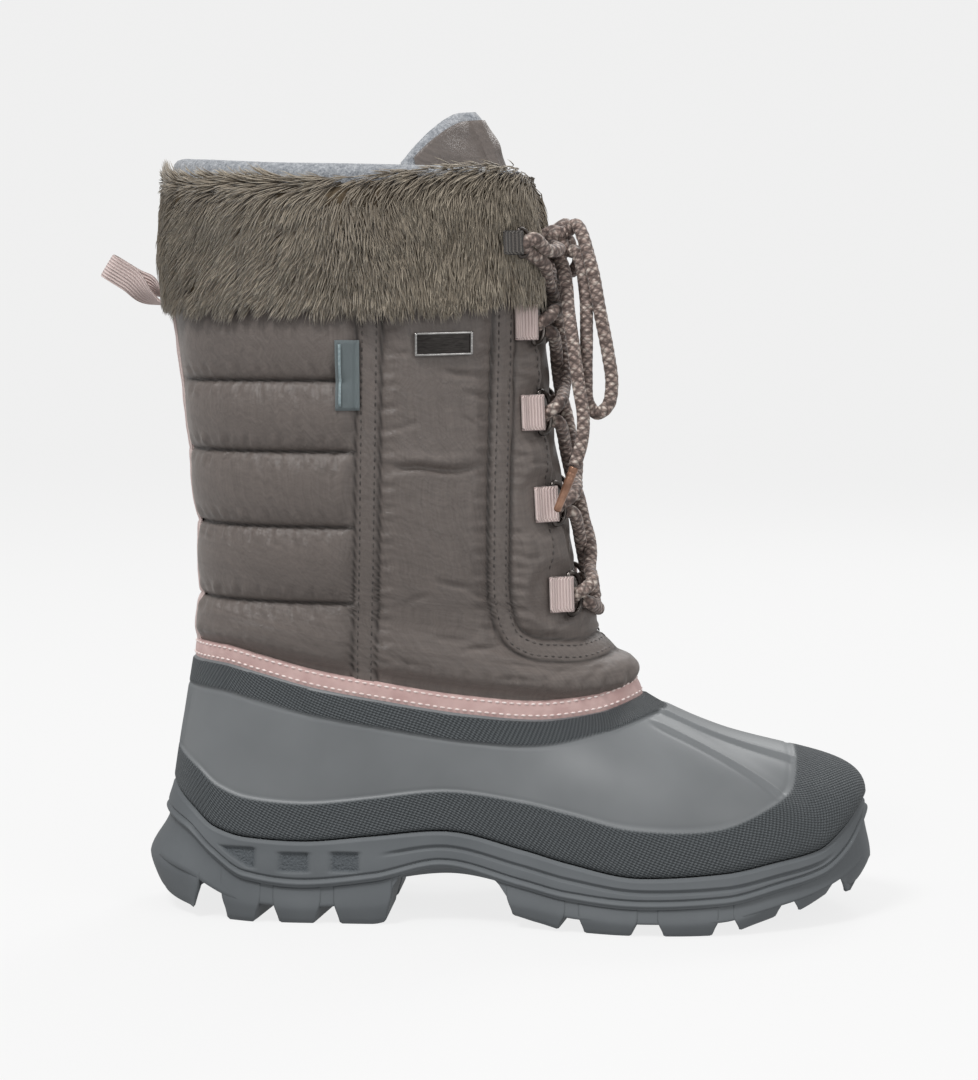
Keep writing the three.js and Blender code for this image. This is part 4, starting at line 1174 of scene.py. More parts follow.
def lug(start, end, sweeps, side):
    """One lug: rings from inside the sole down to the ground. Its outer wall swells to the kick
    line and tucks in to the ground, its other walls draft inwards, and its foot is rounded off."""
    depths = np.concatenate([[-0.12], np.linspace(0, 0.93, 17), [0.96, 0.985, 1.0]])
    rings = []
    for depth in depths:
        inset = LUG_DRAFT * smooth(depth, 0.3, 1.0) + 0.8 * smooth(depth, 0.95, 1.0)
        sample, edge = lug_ring(start, end, sweeps, side, 0.0, inset)
        x = sample[:, 0]
        down = np.clip(depth, 0, 1)
        swell, face_z = kick_swell(x, down)
        ground = sole_height(x, "ground")
        edge_out = np.where(depth < 0, swell - 4.0, swell - 0.9 * smooth(depth, 0.9, 1.0))
        edge_count = int(edge.sum())
        loop, _ = lug_ring(start, end, sweeps, side, float(edge_out[: edge_count].mean()), inset)
        turns = lug_edge_turns(start, end, side)
        exact_x, exact_y = outline(turns, edge_out[: edge_count])
        rough_x, rough_y = outline(turns, float(edge_out[: edge_count].mean()))
        loop[:edge_count, 0] += exact_x - rough_x
        loop[:edge_count, 1] += exact_y - rough_y
        loop[:edge_count, 0] += squared_ends(loop[:edge_count, 0], start + inset, end - inset, side)
        top = sole_height(x, "base") + 2.0
        z = np.where(edge > 0, face_z, lerp(top, ground, down))
        rings.append(stack(loop[:, 0], loop[:, 1], z))
    foot_ring = rings[-1]
    centre = foot_ring[:, :2].mean(axis=0)
    for share in (0.6, 0.25, 0.01):
        plan = lerp(centre, foot_ring[:, :2], share)
        rings.append(stack(plan[:, 0], plan[:, 1], sole_height(plan[:, 0], "ground")))
    head = rings[0]
    centre = head[:, :2].mean(axis=0)
    plan = lerp(centre, head[:, :2], 0.01)
    rings.insert(0, stack(plan[:, 0], plan[:, 1], np.full(len(plan), head[:, 2].mean())))
    points = np.array(rings)
    u, v = surface_lengths(points)
    faces = quads(len(points), points.shape[1], False, True)
    return points.reshape(-1, 3), faces, grid_uv(u, v, False, True)


def lug_rows():
    """Places of all the lugs between the grooves, as start, end, sweeps and side."""
    starts = np.concatenate([[0.0], GROOVES["end"]])
    ends = np.concatenate([GROOVES["start"], [300.0]])
    sweeps = np.concatenate([[0.0], GROOVES["sweep"], [0.0]])
    for i, (start, end) in enumerate(zip(starts, ends)):
        pair = (sweeps[i], sweeps[i + 1])
        if i == 0:
            yield start, end, pair, "heel"
        elif i == len(starts) - 1:
            yield start, end, pair, "toe"
        else:
            for side in (OUTER, INNER):
                yield start, end, pair, side


def make_outsole():
    rings, pebbles = sole_body()
    u, v = surface_lengths(rings)
    count = rings.shape[1]
    points, faces, uv = joined(
        [(rings, quads(len(rings), count, False, True), grid_uv(u, v, False, True))]
        + [lug(*row) for row in lug_rows()]
    )
    shade = np.zeros(len(points))
    shade[: pebbles.size] = pebbles.ravel()
    obj = make_object("outsole_moulding", points, faces, uv, shade)
    outward_faces(obj)
    return settle(obj, MATERIALS["sole_rubber"], ("outsole",))


def make_insole():
    """Fleece insole: rings drawn in to the spine, with a rounded edge and a slightly dished top."""
    turn = np.linspace(0, 1, 200, endpoint=False)
    bed_x, bed_y = outline(turn, -SOLE_CUP_WALL - 1)
    rows = [(0.02, 0.0), (0.5, 0.0), (0.9, 0.0), (0.94, 0.5), (0.955, 2.0), (0.95, 3.2), (0.93, 4.0),
            (0.88, 4.3), (0.7, 4.0), (0.5, 3.9), (0.3, 3.9), (0.12, 3.9), (0.02, 3.9)]
    rings = []
    for share, rise in rows:
        x, y = drawn_in(bed_x, bed_y, share)
        rings.append(stack(x, y, sole_height(x, "floor") + 6 * CLEARANCE + rise))
    obj = grid_object("insole_fleece", np.array(rings), close_columns=True)
    outward_faces(obj)
    return settle(obj, MATERIALS["fleece"], ("insole",))


# ------------------------------------------------------------------ moulded foot

FOOT_COLUMNS = 520
TOP_BAND = 10.0
HEEL_STRIP_HALF = 10.5


def vamp_ridges(points):
    """Height of the moulded ridges over the toes: a raised middle band with a crisp edge, and a
    thin ridge outside it that spreads towards the toe, on both sides."""
    x, y, z = points[..., 0], points[..., 1], points[..., 2]
    middle = 1.0 + 3.0 * smooth(x, 190, 280)
    off = np.abs(y - middle)
    edge = 13.5 + 0.045 * (x - 203)
    second = 21.5 + 0.26 * (x - 203)
    run = smooth(x, 201, 210) * (1 - smooth(x, 262, 278)) * smooth(z, 40, 46)
    band = 0.9 * (1 - smooth(off, edge - 0.6, edge + 1.2)) + 0.7 * bump(off, edge - 1.6, 2.0)
    thin = 0.95 * bump(off, second, 1.9) - 0.35 * bump(off, second + 2.6, 2.0)
    return run * (band + thin)


def foot_rows():
    """Shares between the rim, the band's edge and the topline, closer where edges lie."""
    lower = np.concatenate([np.linspace(0, 0.9, 15), [0.95, 0.985]])
    step = np.linspace(0, 1, 6)
    upper = np.concatenate([np.linspace(0.02, 0.78, 42), np.linspace(0.8, 0.985, 30), [1.0]])
    return lower, step, upper


def make_rubber_foot():
    """Outer surface stands proud under the band and at the topline; the inner surface is a wall's
    thickness inside, and both edges are closed."""
    turn = np.linspace(0, 1, FOOT_COLUMNS, endpoint=False)
    cap = around_ribs("cap", turn)
    lower, step, upper = foot_rows()
    t = np.array([cap * s for s in lower] + [cap + 0.03 * s for s in step]
                 + [lerp(cap + 0.03, 1.0, s) for s in upper])
    kind = np.concatenate([np.ones(len(lower)), 1 - step, np.zeros(len(upper))])[:, None]
    turns = np.broadcast_to(turn, t.shape)
    plain = foot(turns, t)
    normal = foot_normal(turns, t)
    span = np.cumsum(np.linalg.norm(np.diff(plain, axis=0), axis=-1)[::-1], axis=0)[::-1]
    below_top = np.vstack([span, np.zeros((1, span.shape[1]))])
    top_band = 1 - smooth(below_top, TOP_BAND, TOP_BAND + 1.2)
    rolled = 1 - smooth(below_top, 0.0, 1.6)
    strip = 1 - smooth(np.abs(plain[..., 1]), HEEL_STRIP_HALF - 0.9, HEEL_STRIP_HALF + 0.4)
    heel = strip * (plain[..., 0] < 60)
    heel_edge = bump(np.abs(plain[..., 1]), HEEL_STRIP_HALF - 1.2, 1.4) * (plain[..., 0] < 60)
    open_area = (1 - smooth(kind, 0, 1)) * (1 - top_band)
    proud = BAND_PROUD * smooth(kind, 0, 1) + 0.75 * top_band * (1 - smooth(kind, 0, 1))
    proud = proud + open_area * (0.8 * heel + 0.5 * heel_edge + vamp_ridges(plain))
    crease = -0.45 * bump(below_top, TOP_BAND + 1.4, 1.0) * (1 - smooth(kind, 0, 1))
    groove = -0.4 * bump(t - cap, 0.036, 0.012)
    rolled_in = -0.9 * rolled
    lip = -0.8 * (1 - smooth(t, 0.0, 0.03))
    outer = plain + normal * (proud + crease + groove + rolled_in + lip)[..., None]
    inner_t = np.array([np.full_like(turn, s) for s in np.linspace(1, 0, 14)])
    inner_turn = np.broadcast_to(turn, inner_t.shape)
    inner = foot(inner_turn, inner_t) - foot_normal(inner_turn, inner_t) * RUBBER_WALL
    points = np.concatenate([outer, inner])
    u, v = surface_lengths(points)
    u = np.broadcast_to(u[8], u.shape)
    textured = np.maximum(smooth(kind, 0.4, 0.9), top_band * (below_top > 1.0))
    shade = np.concatenate([np.broadcast_to(textured, t.shape), np.zeros(inner_t.shape)])
    faces = quads(len(points), FOOT_COLUMNS, True, True)
    obj = make_object("rubber_foot_moulding", points, faces, grid_uv(u, v, True, True), shade)
    outward_faces(obj)
    return settle(obj, MATERIALS["rubber"], ("rubber_foot",))

# ------------------------------------------------------------------ leg: seams and relief

QUILT_LINES = (126.7, 156.5, 185.6, 212.7)
QUILT_TOP = 246.0
PANEL_SEAM = table("height x", [(90, 92.2), (97, 92.3), (152, 94.8), (241, 97.1), (300, 98.0)])
PANEL_STRIP_HALF = 3.9
FUR_COVERS = (246, 256)
BINDING_HEIGHT = 7.2
EYESTAY = [(147, 252), (146.9, 241), (146, 205), (145, 151), (145.4, 126), (149.5, 113), (157, 108),
           (166, 106.6), (176, 106), (185, 108), (192, 112)]
EYESTAY_HALF = 3.4
THROAT_STITCH = [
    (156, 243), (157.4, 217), (160.4, 190), (161.4, 177), (162.6, 160), (163.6, 148), (163.4, 139),
]


def plane_curve(points, steps=220):
    """Smooth curve through (x, z) points, evenly spaced."""
    rows = np.array([(x, 0.0, z) for x, z in points])
    return spline(rows, steps)[0][:, [0, 2]]


EYESTAY_LINE = plane_curve(EYESTAY)


def distance_to(line, x, z):
    """Distance in the side plane from points to a finely sampled line, row by row."""
    flat = np.stack([np.ravel(x), np.ravel(z)], -1)
    best = np.full(len(flat), np.inf)
    for point in line:
        best = np.minimum(best, (flat[:, 0] - point[0]) ** 2 + (flat[:, 1] - point[1]) ** 2)
    return np.sqrt(best).reshape(np.shape(x))


# Soft creases of the front panel and of the toe-side bulge: where, direction in degrees from level,
# half length, half width and depth; negative depth is a ridge.
CREASES = table(
    "x z turn length width depth",
    [
        (121, 179.0, 0, 23, 1.6, 1.3),
        (121, 182.6, 0, 20, 2.6, -0.6),
        (112, 181.0, 4, 9, 1.2, 0.5),
        (131, 215.0, -16, 10, 1.3, 0.8),
        (136, 207.0, -10, 7, 1.2, 0.6),
        (107, 222.0, 12, 6, 1.2, 0.6),
        (138, 222.0, 24, 6, 1.0, 0.7),
        (134, 197.0, -28, 6, 1.0, 0.4),
        (110, 196.0, 18, 7, 1.2, 0.4),
        (128, 134.0, -20, 9, 1.3, 0.7),
        (137, 129.0, -34, 7, 1.1, 0.6),
        (113, 128.0, 22, 7, 1.2, 0.5),
        (138, 108.5, 8, 11, 1.2, 0.9),
        (126, 112.5, 2, 8, 1.6, 0.5),
        (110, 104.0, -14, 8, 1.2, 0.5),
        (165, 98.0, 12, 8, 1.3, 0.6),
        (181, 98.5, 30, 7, 1.2, 0.7),
        (150, 96.0, -6, 9, 1.2, 0.5),
        (158, 180.0, 8, 5, 1.0, 0.5),
        (155, 218.0, -6, 5, 1.0, 0.5),
        (156, 144.0, 10, 5, 1.0, 0.5),
        (170, 121.5, 52, 7, 1.1, 0.7),
        (166, 117.5, 40, 6, 1.3, -0.4),
        (176, 116.0, 74, 5, 1.0, 0.5),
    ],
)


def crease_relief(x, z):
    """Sum of soft troughs: depth times a cosine hill across times a cosine hill along each line,
    each line bent a little by a slow sine."""
    total = np.zeros(np.shape(x))
    for i in range(len(CREASES["x"])):
        turn = np.radians(CREASES["turn"][i])
        dx, dz = x - CREASES["x"][i], z - CREASES["z"][i]
        along_line = dx * np.cos(turn) + dz * np.sin(turn)
        across = dz * np.cos(turn) - dx * np.sin(turn) + 0.7 * np.sin(along_line * 0.24 + i)
        hill = bump(along_line, 0, CREASES["length"][i]) ** 0.6
        total -= CREASES["depth"][i] * (hill * bump(across, 0, CREASES["width"][i] * 1.5))
    return total


def quilt_lines_at(z):
    """Nearest quilting lines below and above each height."""
    lines = np.array((88.0,) + QUILT_LINES + (QUILT_TOP,))
    i = np.clip(np.searchsorted(lines, z) - 1, 0, len(lines) - 2)
    return lines[i], lines[i + 1]


def pucker(x, z, phase):
    """Fine uneven gathers, as a product of slow and quick sines; runs from -1 to 1."""
    quick = np.sin(x * 1.15 + 2.1 * np.sin(z * 0.11 + phase) + phase)
    return quick * np.sin(x * 0.31 + z * 0.07 + 1.7 * phase)


def tab_seat(x, z):
    """1 under the ring tabs, where the nylon lies flat, falling to 0 a little way off them."""
    seat = np.zeros(np.shape(x))
    for height in EYELET_HEIGHTS:
        tab_x = leg(TAB_ANGLE, height)[0] - 1.0
        seat = np.maximum(seat, 1 - smooth(np.hypot((x - tab_x) / 7.5, (z - height) / 9.5), 1.0, 1.6))
    return seat


def leg_relief(x, z, topline):
    """How far the nylon stands out from the leg's plain surface, in millimetres: padded puffs
    between the quilting lines behind the seam strip, one tall soft puff with creases in front of
    it, flat raised strips, and gathers beside every stitched line."""
    seam = along(PANEL_SEAM, "height", "x", z)
    from_seam = x - seam
    stay = distance_to(EYESTAY_LINE, x, z)
    low, high = quilt_lines_at(z)
    share = np.clip((z - low) / (high - low), 0, 1)
    fullness = (4 * share * (1 - share)) ** 0.6
    beside_line = np.minimum(np.abs(z - low), np.abs(high - z))
    gathers = 0.8 * pucker(x, z, 0.6) * bump(beside_line, 3.4, 4.4)
    quilted = 1.1 * bump(beside_line, 0.0, 1.3) * smooth(-from_seam, 2.0, 5.0)
    rear_edge = smooth(x, 15, 27) * smooth(-from_seam, PANEL_STRIP_HALF, PANEL_STRIP_HALF + 7)
    rear = (4.3 * fullness - 1.5) * (0.05 + 0.95 * rear_edge) + (gathers - quilted) * rear_edge
    front_edge = smooth(from_seam, PANEL_STRIP_HALF, PANEL_STRIP_HALF + 8)
    front_edge = front_edge * smooth(stay, EYESTAY_HALF, EYESTAY_HALF + 8)
    side_gathers = 0.6 * pucker(z, x, 1.9) * bump(stay, EYESTAY_HALF + 3.5, 5.0)
    side_gathers = side_gathers + 0.5 * pucker(z, x, 4.1) * bump(from_seam, PANEL_STRIP_HALF + 4.0, 5.0)
    front = 2.6 * front_edge - 0.6 + 1.7 * crease_relief(x, z) + side_gathers
    above_binding = z - topline
    bulge = 2.2 * bump(above_binding, 17, 16) + 0.9 * pucker(x, z, 2.7) * bump(above_binding, 11.5, 6.0)
    blend = smooth(from_seam, -0.6, 0.6)
    nylon_out = lerp(rear, front, blend) + bulge * (0.4 + 0.6 * blend)
    tucked = smooth(above_binding, BINDING_HEIGHT - 1.0, BINDING_HEIGHT + 5.0)
    nylon_out = nylon_out * tucked - 0.3 * (1 - tucked)
    strip = 1 - smooth(np.abs(from_seam), PANEL_STRIP_HALF - 0.4, PANEL_STRIP_HALF + 0.4)
    strip_dent = bump(np.abs(from_seam), PANEL_STRIP_HALF - 1.25, 0.9)
    stay_flat = 1 - smooth(stay, EYESTAY_HALF - 0.4, EYESTAY_HALF + 0.4)
    stay_dent = bump(stay, EYESTAY_HALF - 1.2, 0.9)
    edge_gap = 1.1 * bump(np.abs(from_seam), PANEL_STRIP_HALF + 1.0, 1.2)
    edge_gap = edge_gap + 1.1 * bump(stay, EYESTAY_HALF + 1.0, 1.2)
    flat = lerp(nylon_out * 0.3 + 0.5 - 0.3 * strip_dent, nylon_out - edge_gap, 1 - strip)
    flat = lerp(flat, nylon_out * 0.3 + 0.75 - 0.35 * stay_dent, stay_flat)
    under_fur = smooth(z, *FUR_COVERS)
    return flat * (1 - under_fur) * (1 - 0.9 * tab_seat(x, z))


def seam_shade(x, z):
    """Painted shade on the nylon along its seams and quilting lines: 1 in the seam line, 0 a little off it.
    """
    seam = along(PANEL_SEAM, "height", "x", z)
    from_seam = np.abs(x - seam)
    stay = distance_to(EYESTAY_LINE, x, z)
    low, high = quilt_lines_at(z)
    beside_line = np.minimum(np.abs(z - low), np.abs(high - z))
    quilted = bump(beside_line, 0.0, 1.5) * (x < seam - 4)
    strips = np.maximum(bump(from_seam, PANEL_STRIP_HALF + 0.7, 1.1), bump(stay, EYESTAY_HALF + 0.7, 1.1))
    return np.clip(np.maximum(quilted, strips), 0, 1) * (1 - smooth(z, 244, 248))


def on_leg(x, z, side, lift=0.0):
    """Points on the finished nylon at side-view places (x, z)."""
    x, z = np.broadcast_arrays(np.asarray(x, dtype=float), np.asarray(z, dtype=float))
    topline = along(TOPLINE, "x", "height", x)
    return leg(side * leg_angle(x, z), z, leg_relief(x, z, topline) + lift)


SHAFT_COLUMNS = 380
SHAFT_ROWS = 225


def shaft_angles(share, height):
    """Angles from one throat edge round the back to the other; below the throat they meet."""
    half = throat_angle(height) * smooth(height, 119, 127)
    return lerp(half, 360 - half, share)


def make_shaft():
    """Nylon outside, edges rolled in at the throat and collar, and a plain wall behind."""
    share = np.linspace(0, 1, SHAFT_COLUMNS)[None]
    rows = np.linspace(0, 1, SHAFT_ROWS)[:, None]
    topline = topline_point(shaft_angles(share, 150.0))[..., 2]
    height = lerp(topline - 5, collar_height(shaft_angles(share, 260.0), "leg_top") - 1.5, rows)
    angle = shaft_angles(share, height)
    plain = leg(angle, height)
    relief = leg_relief(plain[..., 0], height, topline)
    open_throat = smooth(height, 119, 127)
    from_edge = (0.5 - np.abs(share - 0.5)) * 330.0
    roll = np.sqrt(np.clip(1 - (1 - np.clip(from_edge / 2.4, 0, 1)) ** 2, 0, 1))
    roll = lerp(1.0, roll, open_throat)
    below = -(TOPLINE_STEP + 2.6) * (1 - smooth(height - topline, -1.5, 0.6))
    outer = leg(angle, height, relief * roll - (LEG_WALL - 0.6) * (1 - roll) + below)
    inner_rows = np.linspace(1, 0, 14)[:, None]
    inner_height = lerp(topline - 5, height[-1:], inner_rows)
    inner_angle = shaft_angles(share, inner_height)
    inner = leg(inner_angle, inner_height, -LEG_WALL + 0.6)
    points = np.concatenate([outer, inner])
    shade = np.zeros(points.shape[:2])
    # Painted shade along the seams and quilting lines, for the nylon's colour.
    shade[: SHAFT_ROWS] = seam_shade(plain[..., 0], np.broadcast_to(height, plain.shape[:2]))
    obj = grid_object("shaft_nylon", points, close_rows=True, shade=shade)
    return settle(obj, MATERIALS["nylon"], ("shaft",))


LINING_THICKNESS = 0.0008


def thicken(obj, thickness):
    """Wall of a thickness in metres, half of it on each side of the surface."""
    solid = obj.modifiers.new("thickness", "SOLIDIFY")
    solid.thickness = thickness
    solid.offset = 0


def make_lining():
    """Fleece inside the leg, rolled over the collar into a soft edge above the fur."""
    share = np.linspace(0, 1, 260)[None]
    profile = [(-9, -0.2, 0), (-4, 0.2, 0), (-1.2, 0.3, 0), (0.8, -0.1, 0), (2.2, -1.3, 0),
               (2.7, -3.0, 0), (2.2, -4.7, 0),
               (0.8, -6.0, 0), (-1.5, -6.7, 0), (-8, -6.8, 0), (-30, -6.3, 0)]
    down = [(0, -6.3, s) for s in np.linspace(0.2, 1.0, 14)]
    rings = []
    for rise, out, drop in profile + down:
        top = collar_height(shaft_angles(share, 260.0), "leg_top")
        low = topline_point(shaft_angles(share, 150.0))[..., 2] - 12
        height = lerp(top + rise, low, drop)
        angle = shaft_angles(share, height)
        lumps = 0.35 * np.sin(angle * 0.6) * np.sin(angle * 0.23 + 1) * (drop == 0)
        rings.append(leg(angle, height, out + lumps)[0])
    obj = grid_object("lining_fleece", np.array(rings), flip=True)
    thicken(obj, LINING_THICKNESS)
    return settle(obj, MATERIALS["fleece"])


def make_foot_lining():
    """Fleece against the inside of the moulded foot, from the insole to the leg."""
    turn = np.linspace(0, 1, 220, endpoint=False)
    t = np.linspace(0.0, 0.93, 26)[:, None]
    turns = np.broadcast_to(turn, (len(t), len(turn)))
    share = np.broadcast_to(t, turns.shape)
    points = foot(turns, share) - foot_normal(turns, share) * (RUBBER_WALL + 0.9)
    obj = grid_object("foot_lining_fleece", points, close_columns=True, flip=True)
    thicken(obj, LINING_THICKNESS)
    return settle(obj, MATERIALS["fleece"])


# ------------------------------------------------------------------ bindings, tape and stitches


def stitches(centres, directions, normals, length, radius):
    """One mesh of many stitches: each is a short bead, five rings of six, bowed into the cloth at
    its ends; ring size follows sqrt(1 - s^2) along it."""
    s = np.linspace(-1, 1, 5)
    size = np.sqrt(np.clip(1 - (s * 0.97) ** 2, 0.03, 1)) * radius
    turn = 2 * np.pi * np.arange(6) / 6
    sideways = np.cross(normals, directions)
    axis = s[None, :, None, None] * directions[:, None, None] * length / 2
    sink = (-0.35 * radius * s[None, :, None, None] ** 2) * normals[:, None, None]
    ring = (np.cos(turn)[None, None, :, None] * sideways[:, None, None]
            + np.sin(turn)[None, None, :, None] * normals[:, None, None])
    points = centres[:, None, None] + axis + sink + size[None, :, None, None] * ring
    count, per = len(centres), 30
    one = quads(5, 6, False, True)
    faces = (one[None] + np.arange(count)[:, None, None] * per).reshape(-1, 4)
    return points.reshape(-1, 3), faces, np.zeros((len(faces), 4, 2))


def stitch_row(curve, outward, pitch=3.0, length=2.2, radius=0.42):
    """Stitches along a dense curve of points, with the outward direction at each point."""
    step = np.linalg.norm(np.diff(curve, axis=0), axis=1)
    place = np.concatenate([[0], np.cumsum(step)])
    at = np.arange(pitch / 2, place[-1], pitch)
    centre = np.stack([np.interp(at, place, curve[:, k]) for k in range(3)], -1)
    tangent = np.gradient(curve, axis=0)
    direction = unit(np.stack([np.interp(at, place, tangent[:, k]) for k in range(3)], -1))
    normal = np.stack([np.interp(at, place, outward[:, k]) for k in range(3)], -1)
    normal = unit(normal - direction * np.sum(normal * direction, axis=1, keepdims=True))
    return stitches(centre, direction, normal, length, radius)


def leg_stitch_row(line, side, lift=0.05, **sizes):
    """Stitches on the nylon along a side-view line of (x, z) points."""
    points = on_leg(line[:, 0], line[:, 1], side, lift)
    outward = unit(on_leg(line[:, 0], line[:, 1], side, lift + 1.0) - points)
    return stitch_row(points, outward, **sizes)


def offset_line(line, distance):
    """The same line moved sideways in the side plane."""
    tangent = unit(np.gradient(line, axis=0))
    return line + distance * np.stack([-tangent[:, 1], tangent[:, 0]], -1)


def make_leg_stitches():
    parts = []
    heights = np.linspace(241, 95, 150)
    for _, side in SIDES:
        for offset in (-PANEL_STRIP_HALF + 1.25, PANEL_STRIP_HALF - 1.25):
            seam = np.stack([along(PANEL_SEAM, "height", "x", heights) + offset, heights], -1)
            parts.append(leg_stitch_row(seam, side))
        inside = EYESTAY_LINE[(EYESTAY_LINE[:, 1] < 245)]
        for offset in (-EYESTAY_HALF + 1.2, EYESTAY_HALF - 1.2):
            parts.append(leg_stitch_row(offset_line(inside, offset), side))
        parts.append(leg_stitch_row(plane_curve(THROAT_STITCH), side))
        for height in QUILT_LINES:
            end = along(PANEL_SEAM, "height", "x", height) - PANEL_STRIP_HALF - 1
            x = np.linspace(28.5, end, 90)
            line = np.stack([x, np.full_like(x, height)], -1)
            parts.append(leg_stitch_row(line, side, lift=0.1, radius=0.36))
    obj = make_object("leg_stitches", *joined(parts))
    return settle(obj, MATERIALS["dark_thread"])


def binding_ring(angle, share, lift=0.0):
    """Point of the pink binding; share runs from the rubber (0) to the nylon (1)."""
    base = topline_point(angle)
    height = base[..., 2] - 1.4 + share * (BINDING_HEIGHT + 1.4)
    crown = 1.15 + 0.5 * np.sin(np.pi * np.clip(share, 0, 1)) - 1.3 * (1 - smooth(1 - share, 0.0, 0.09))
    return leg(angle, height, crown + lift)


def make_binding():
    angle = np.linspace(0, 360, 420, endpoint=False)
    rows = [binding_ring(angle, s) for s in np.linspace(0, 1, 16)]
    rows += [binding_ring(angle, s, -1.6) for s in np.linspace(1, 0, 5)]
    obj = grid_object("topline_binding", np.array(rows), close_rows=True, close_columns=True)
    outward_faces(obj)
    settle(obj, MATERIALS["pink_binding"])
    parts = []
    for share in (0.33, 0.86):
        curve = binding_ring(np.linspace(2, 358, 900), share, 0.12)
        outward = unit(binding_ring(np.linspace(2, 358, 900), share, 1.12) - curve)
        parts.append(stitch_row(curve, outward, pitch=2.9, length=2.0, radius=0.42))
    stitched = make_object("binding_stitches", *joined(parts))
    settle(stitched, MATERIALS["pink_thread"])


BACK_TAPE_HALF = 9.0
BACK_TOPLINE = 101.0


def make_back_tape():
    """Pink tape down the back seam, slightly domed, from the fur to the binding."""
    s = np.linspace(-1, 1, 21)
    height = np.linspace(246, 107, 120)[:, None]
    half_width = along(LEG_SECTIONS, "height", "half_width", height)
    angle = 180 + np.degrees(np.arcsin(BACK_TAPE_HALF * s / half_width))
    x = leg(angle, height)[..., 0]
    relief = leg_relief(x, height + 0 * s, BACK_TOPLINE) * 0.5
    out = relief + 1.2 + 0.35 * (1 - s ** 2) - 0.9 * (np.abs(s) > 0.99)
    ripple = 0.12 * np.sin(height * 0.5) * np.sin(height * 0.13)
    outer = leg(angle, height, out + ripple)
    inner = leg(angle[:, ::-1], height, -0.6)
    points = np.concatenate([outer, inner], axis=1)
    obj = grid_object("back_tape", points, close_columns=True)
    outward_faces(obj)
    return settle(obj, MATERIALS["pink_tape"])


# ------------------------------------------------------------------ label and plate


def patch_on_leg(x_edges, z_edges, side, lift, thickness, steps=(24, 18), curl=None, tilt=0.0):
    """Thin closed patch lying over the nylon: outer grid, inner grid behind it, joined all round."""
    s = np.linspace(0, 1, steps[0])[None]
    r = np.linspace(0, 1, steps[1])[:, None]
    x = lerp(x_edges[0], x_edges[1], s) + 0 * r
    z = lerp(z_edges[0], z_edges[1], r) + tilt * (s - 0.5)
    middle = on_leg(x, z, side)
    plain = leg(side * leg_angle(x, z), z)
    outward = unit(leg(side * leg_angle(x, z), z, 1.0) - plain)
    height = np.linalg.norm(middle - plain, axis=-1) * np.sign(np.sum((middle - plain) * outward, -1))
    level = height.mean() * 0.6 + height * 0.4
    extra = 0.0 if curl is None else curl * (1 - s) ** 2
    front = plain + outward * (level + lift + extra)[..., None]
    back = front - outward * thickness
    points = np.concatenate([front, back[:, ::-1]], axis=1)
    count = points.shape[1]
    faces = quads(len(points), count, False, True)
    u, v = surface_lengths(points)
    uv = grid_uv(u, v, False, True)
    half = count // 2
    cell = np.arange(half - 1)
    caps = []
    for row in (0, len(points) - 1):
        start = row * count
        opposite = start + count - 1 - cell
        caps.append(np.stack([start + cell, start + cell + 1, opposite - 1, opposite], -1))
    faces = np.vstack([faces] + caps)
    uv = np.vstack([uv, np.zeros((sum(len(c) for c in caps), 4, 2))])
    return points.reshape(-1, 3), faces, uv


def make_label():
    label = make_object("side_label", *patch_on_leg((84.4, 93.2), (201.4, 228.0), OUTER, 0.75, 0.5, curl=1.2))
    outward_faces(label)
    settle(label, MATERIALS["label"])
    stripe = make_object(
        "side_label_stripe", *patch_on_leg((85.6, 86.6), (203.0, 226.4), OUTER, 1.6, 0.3, (4, 18)))
    outward_faces(stripe)
    settle(stripe, MATERIALS["label_stripe"])


def make_plate():
    """Blank oblong plate with a bright raised rim."""
    face = make_object("name_plate", *patch_on_leg((113.6, 133.2), (222.6, 230.6), OUTER, 1.2, 1.0, tilt=0.6))
    outward_faces(face)
    settle(face, MATERIALS["plate_dark"])
    rim = 0.75
    parts = [
        patch_on_leg((113.2, 133.6), (222.2, 222.2 + rim), OUTER, 1.65, 1.3, (24, 4), tilt=0.6),
        patch_on_leg((113.2, 133.6), (231.0 - rim, 231.0), OUTER, 1.65, 1.3, (24, 4), tilt=0.6),
        patch_on_leg((113.2, 113.2 + rim), (221.9, 230.7), OUTER, 1.65, 1.3, (4, 12)),
        patch_on_leg((133.6 - rim, 133.6), (222.5, 231.3), OUTER, 1.65, 1.3, (4, 12)),
    ]
    border = make_object("name_plate_rim", *joined(parts))
    outward_faces(border)
    settle(border, MATERIALS["plate_rim"])

# ------------------------------------------------------------------ fur cuff

HAIRS_PER_PIECE = 12000
FUR_SEED = 41
HAIR_RADII = (0.28, 0.28, 0.2, 0.03)


def make_cuff_backing():
    """Padded backing under the fur: two thirds of the cuff's depth, rounded at every edge."""
    share = np.linspace(0, 1, 200)[None]
    rows = np.linspace(0, 1, 26)[:, None]
    bottom = collar_height(shaft_angles(share, 250.0), "cuff_bottom") + 1.5
    top = collar_height(shaft_angles(share, 280.0), "cuff_top") - 1.5
    height = lerp(bottom, top, rows)
    angle = shaft_angles(share, height)
    side_edge = np.minimum(np.minimum(share, 1 - share) * 330 / 5, 1)
    edge = side_edge * np.minimum(np.minimum(rows, 1 - rows) * 50 / 6, 1)
    outer = leg(angle, height, 0.8 + 3.2 * np.sqrt(np.clip(edge, 0, 1)))
    inner = leg(angle, height, 0.35)[::-1]
    obj = grid_object("cuff_backing", np.concatenate([outer, inner]), close_rows=True)
    outward_faces(obj)
    return settle(obj, MATERIALS["fur_backing"], ("fur_cuff",))


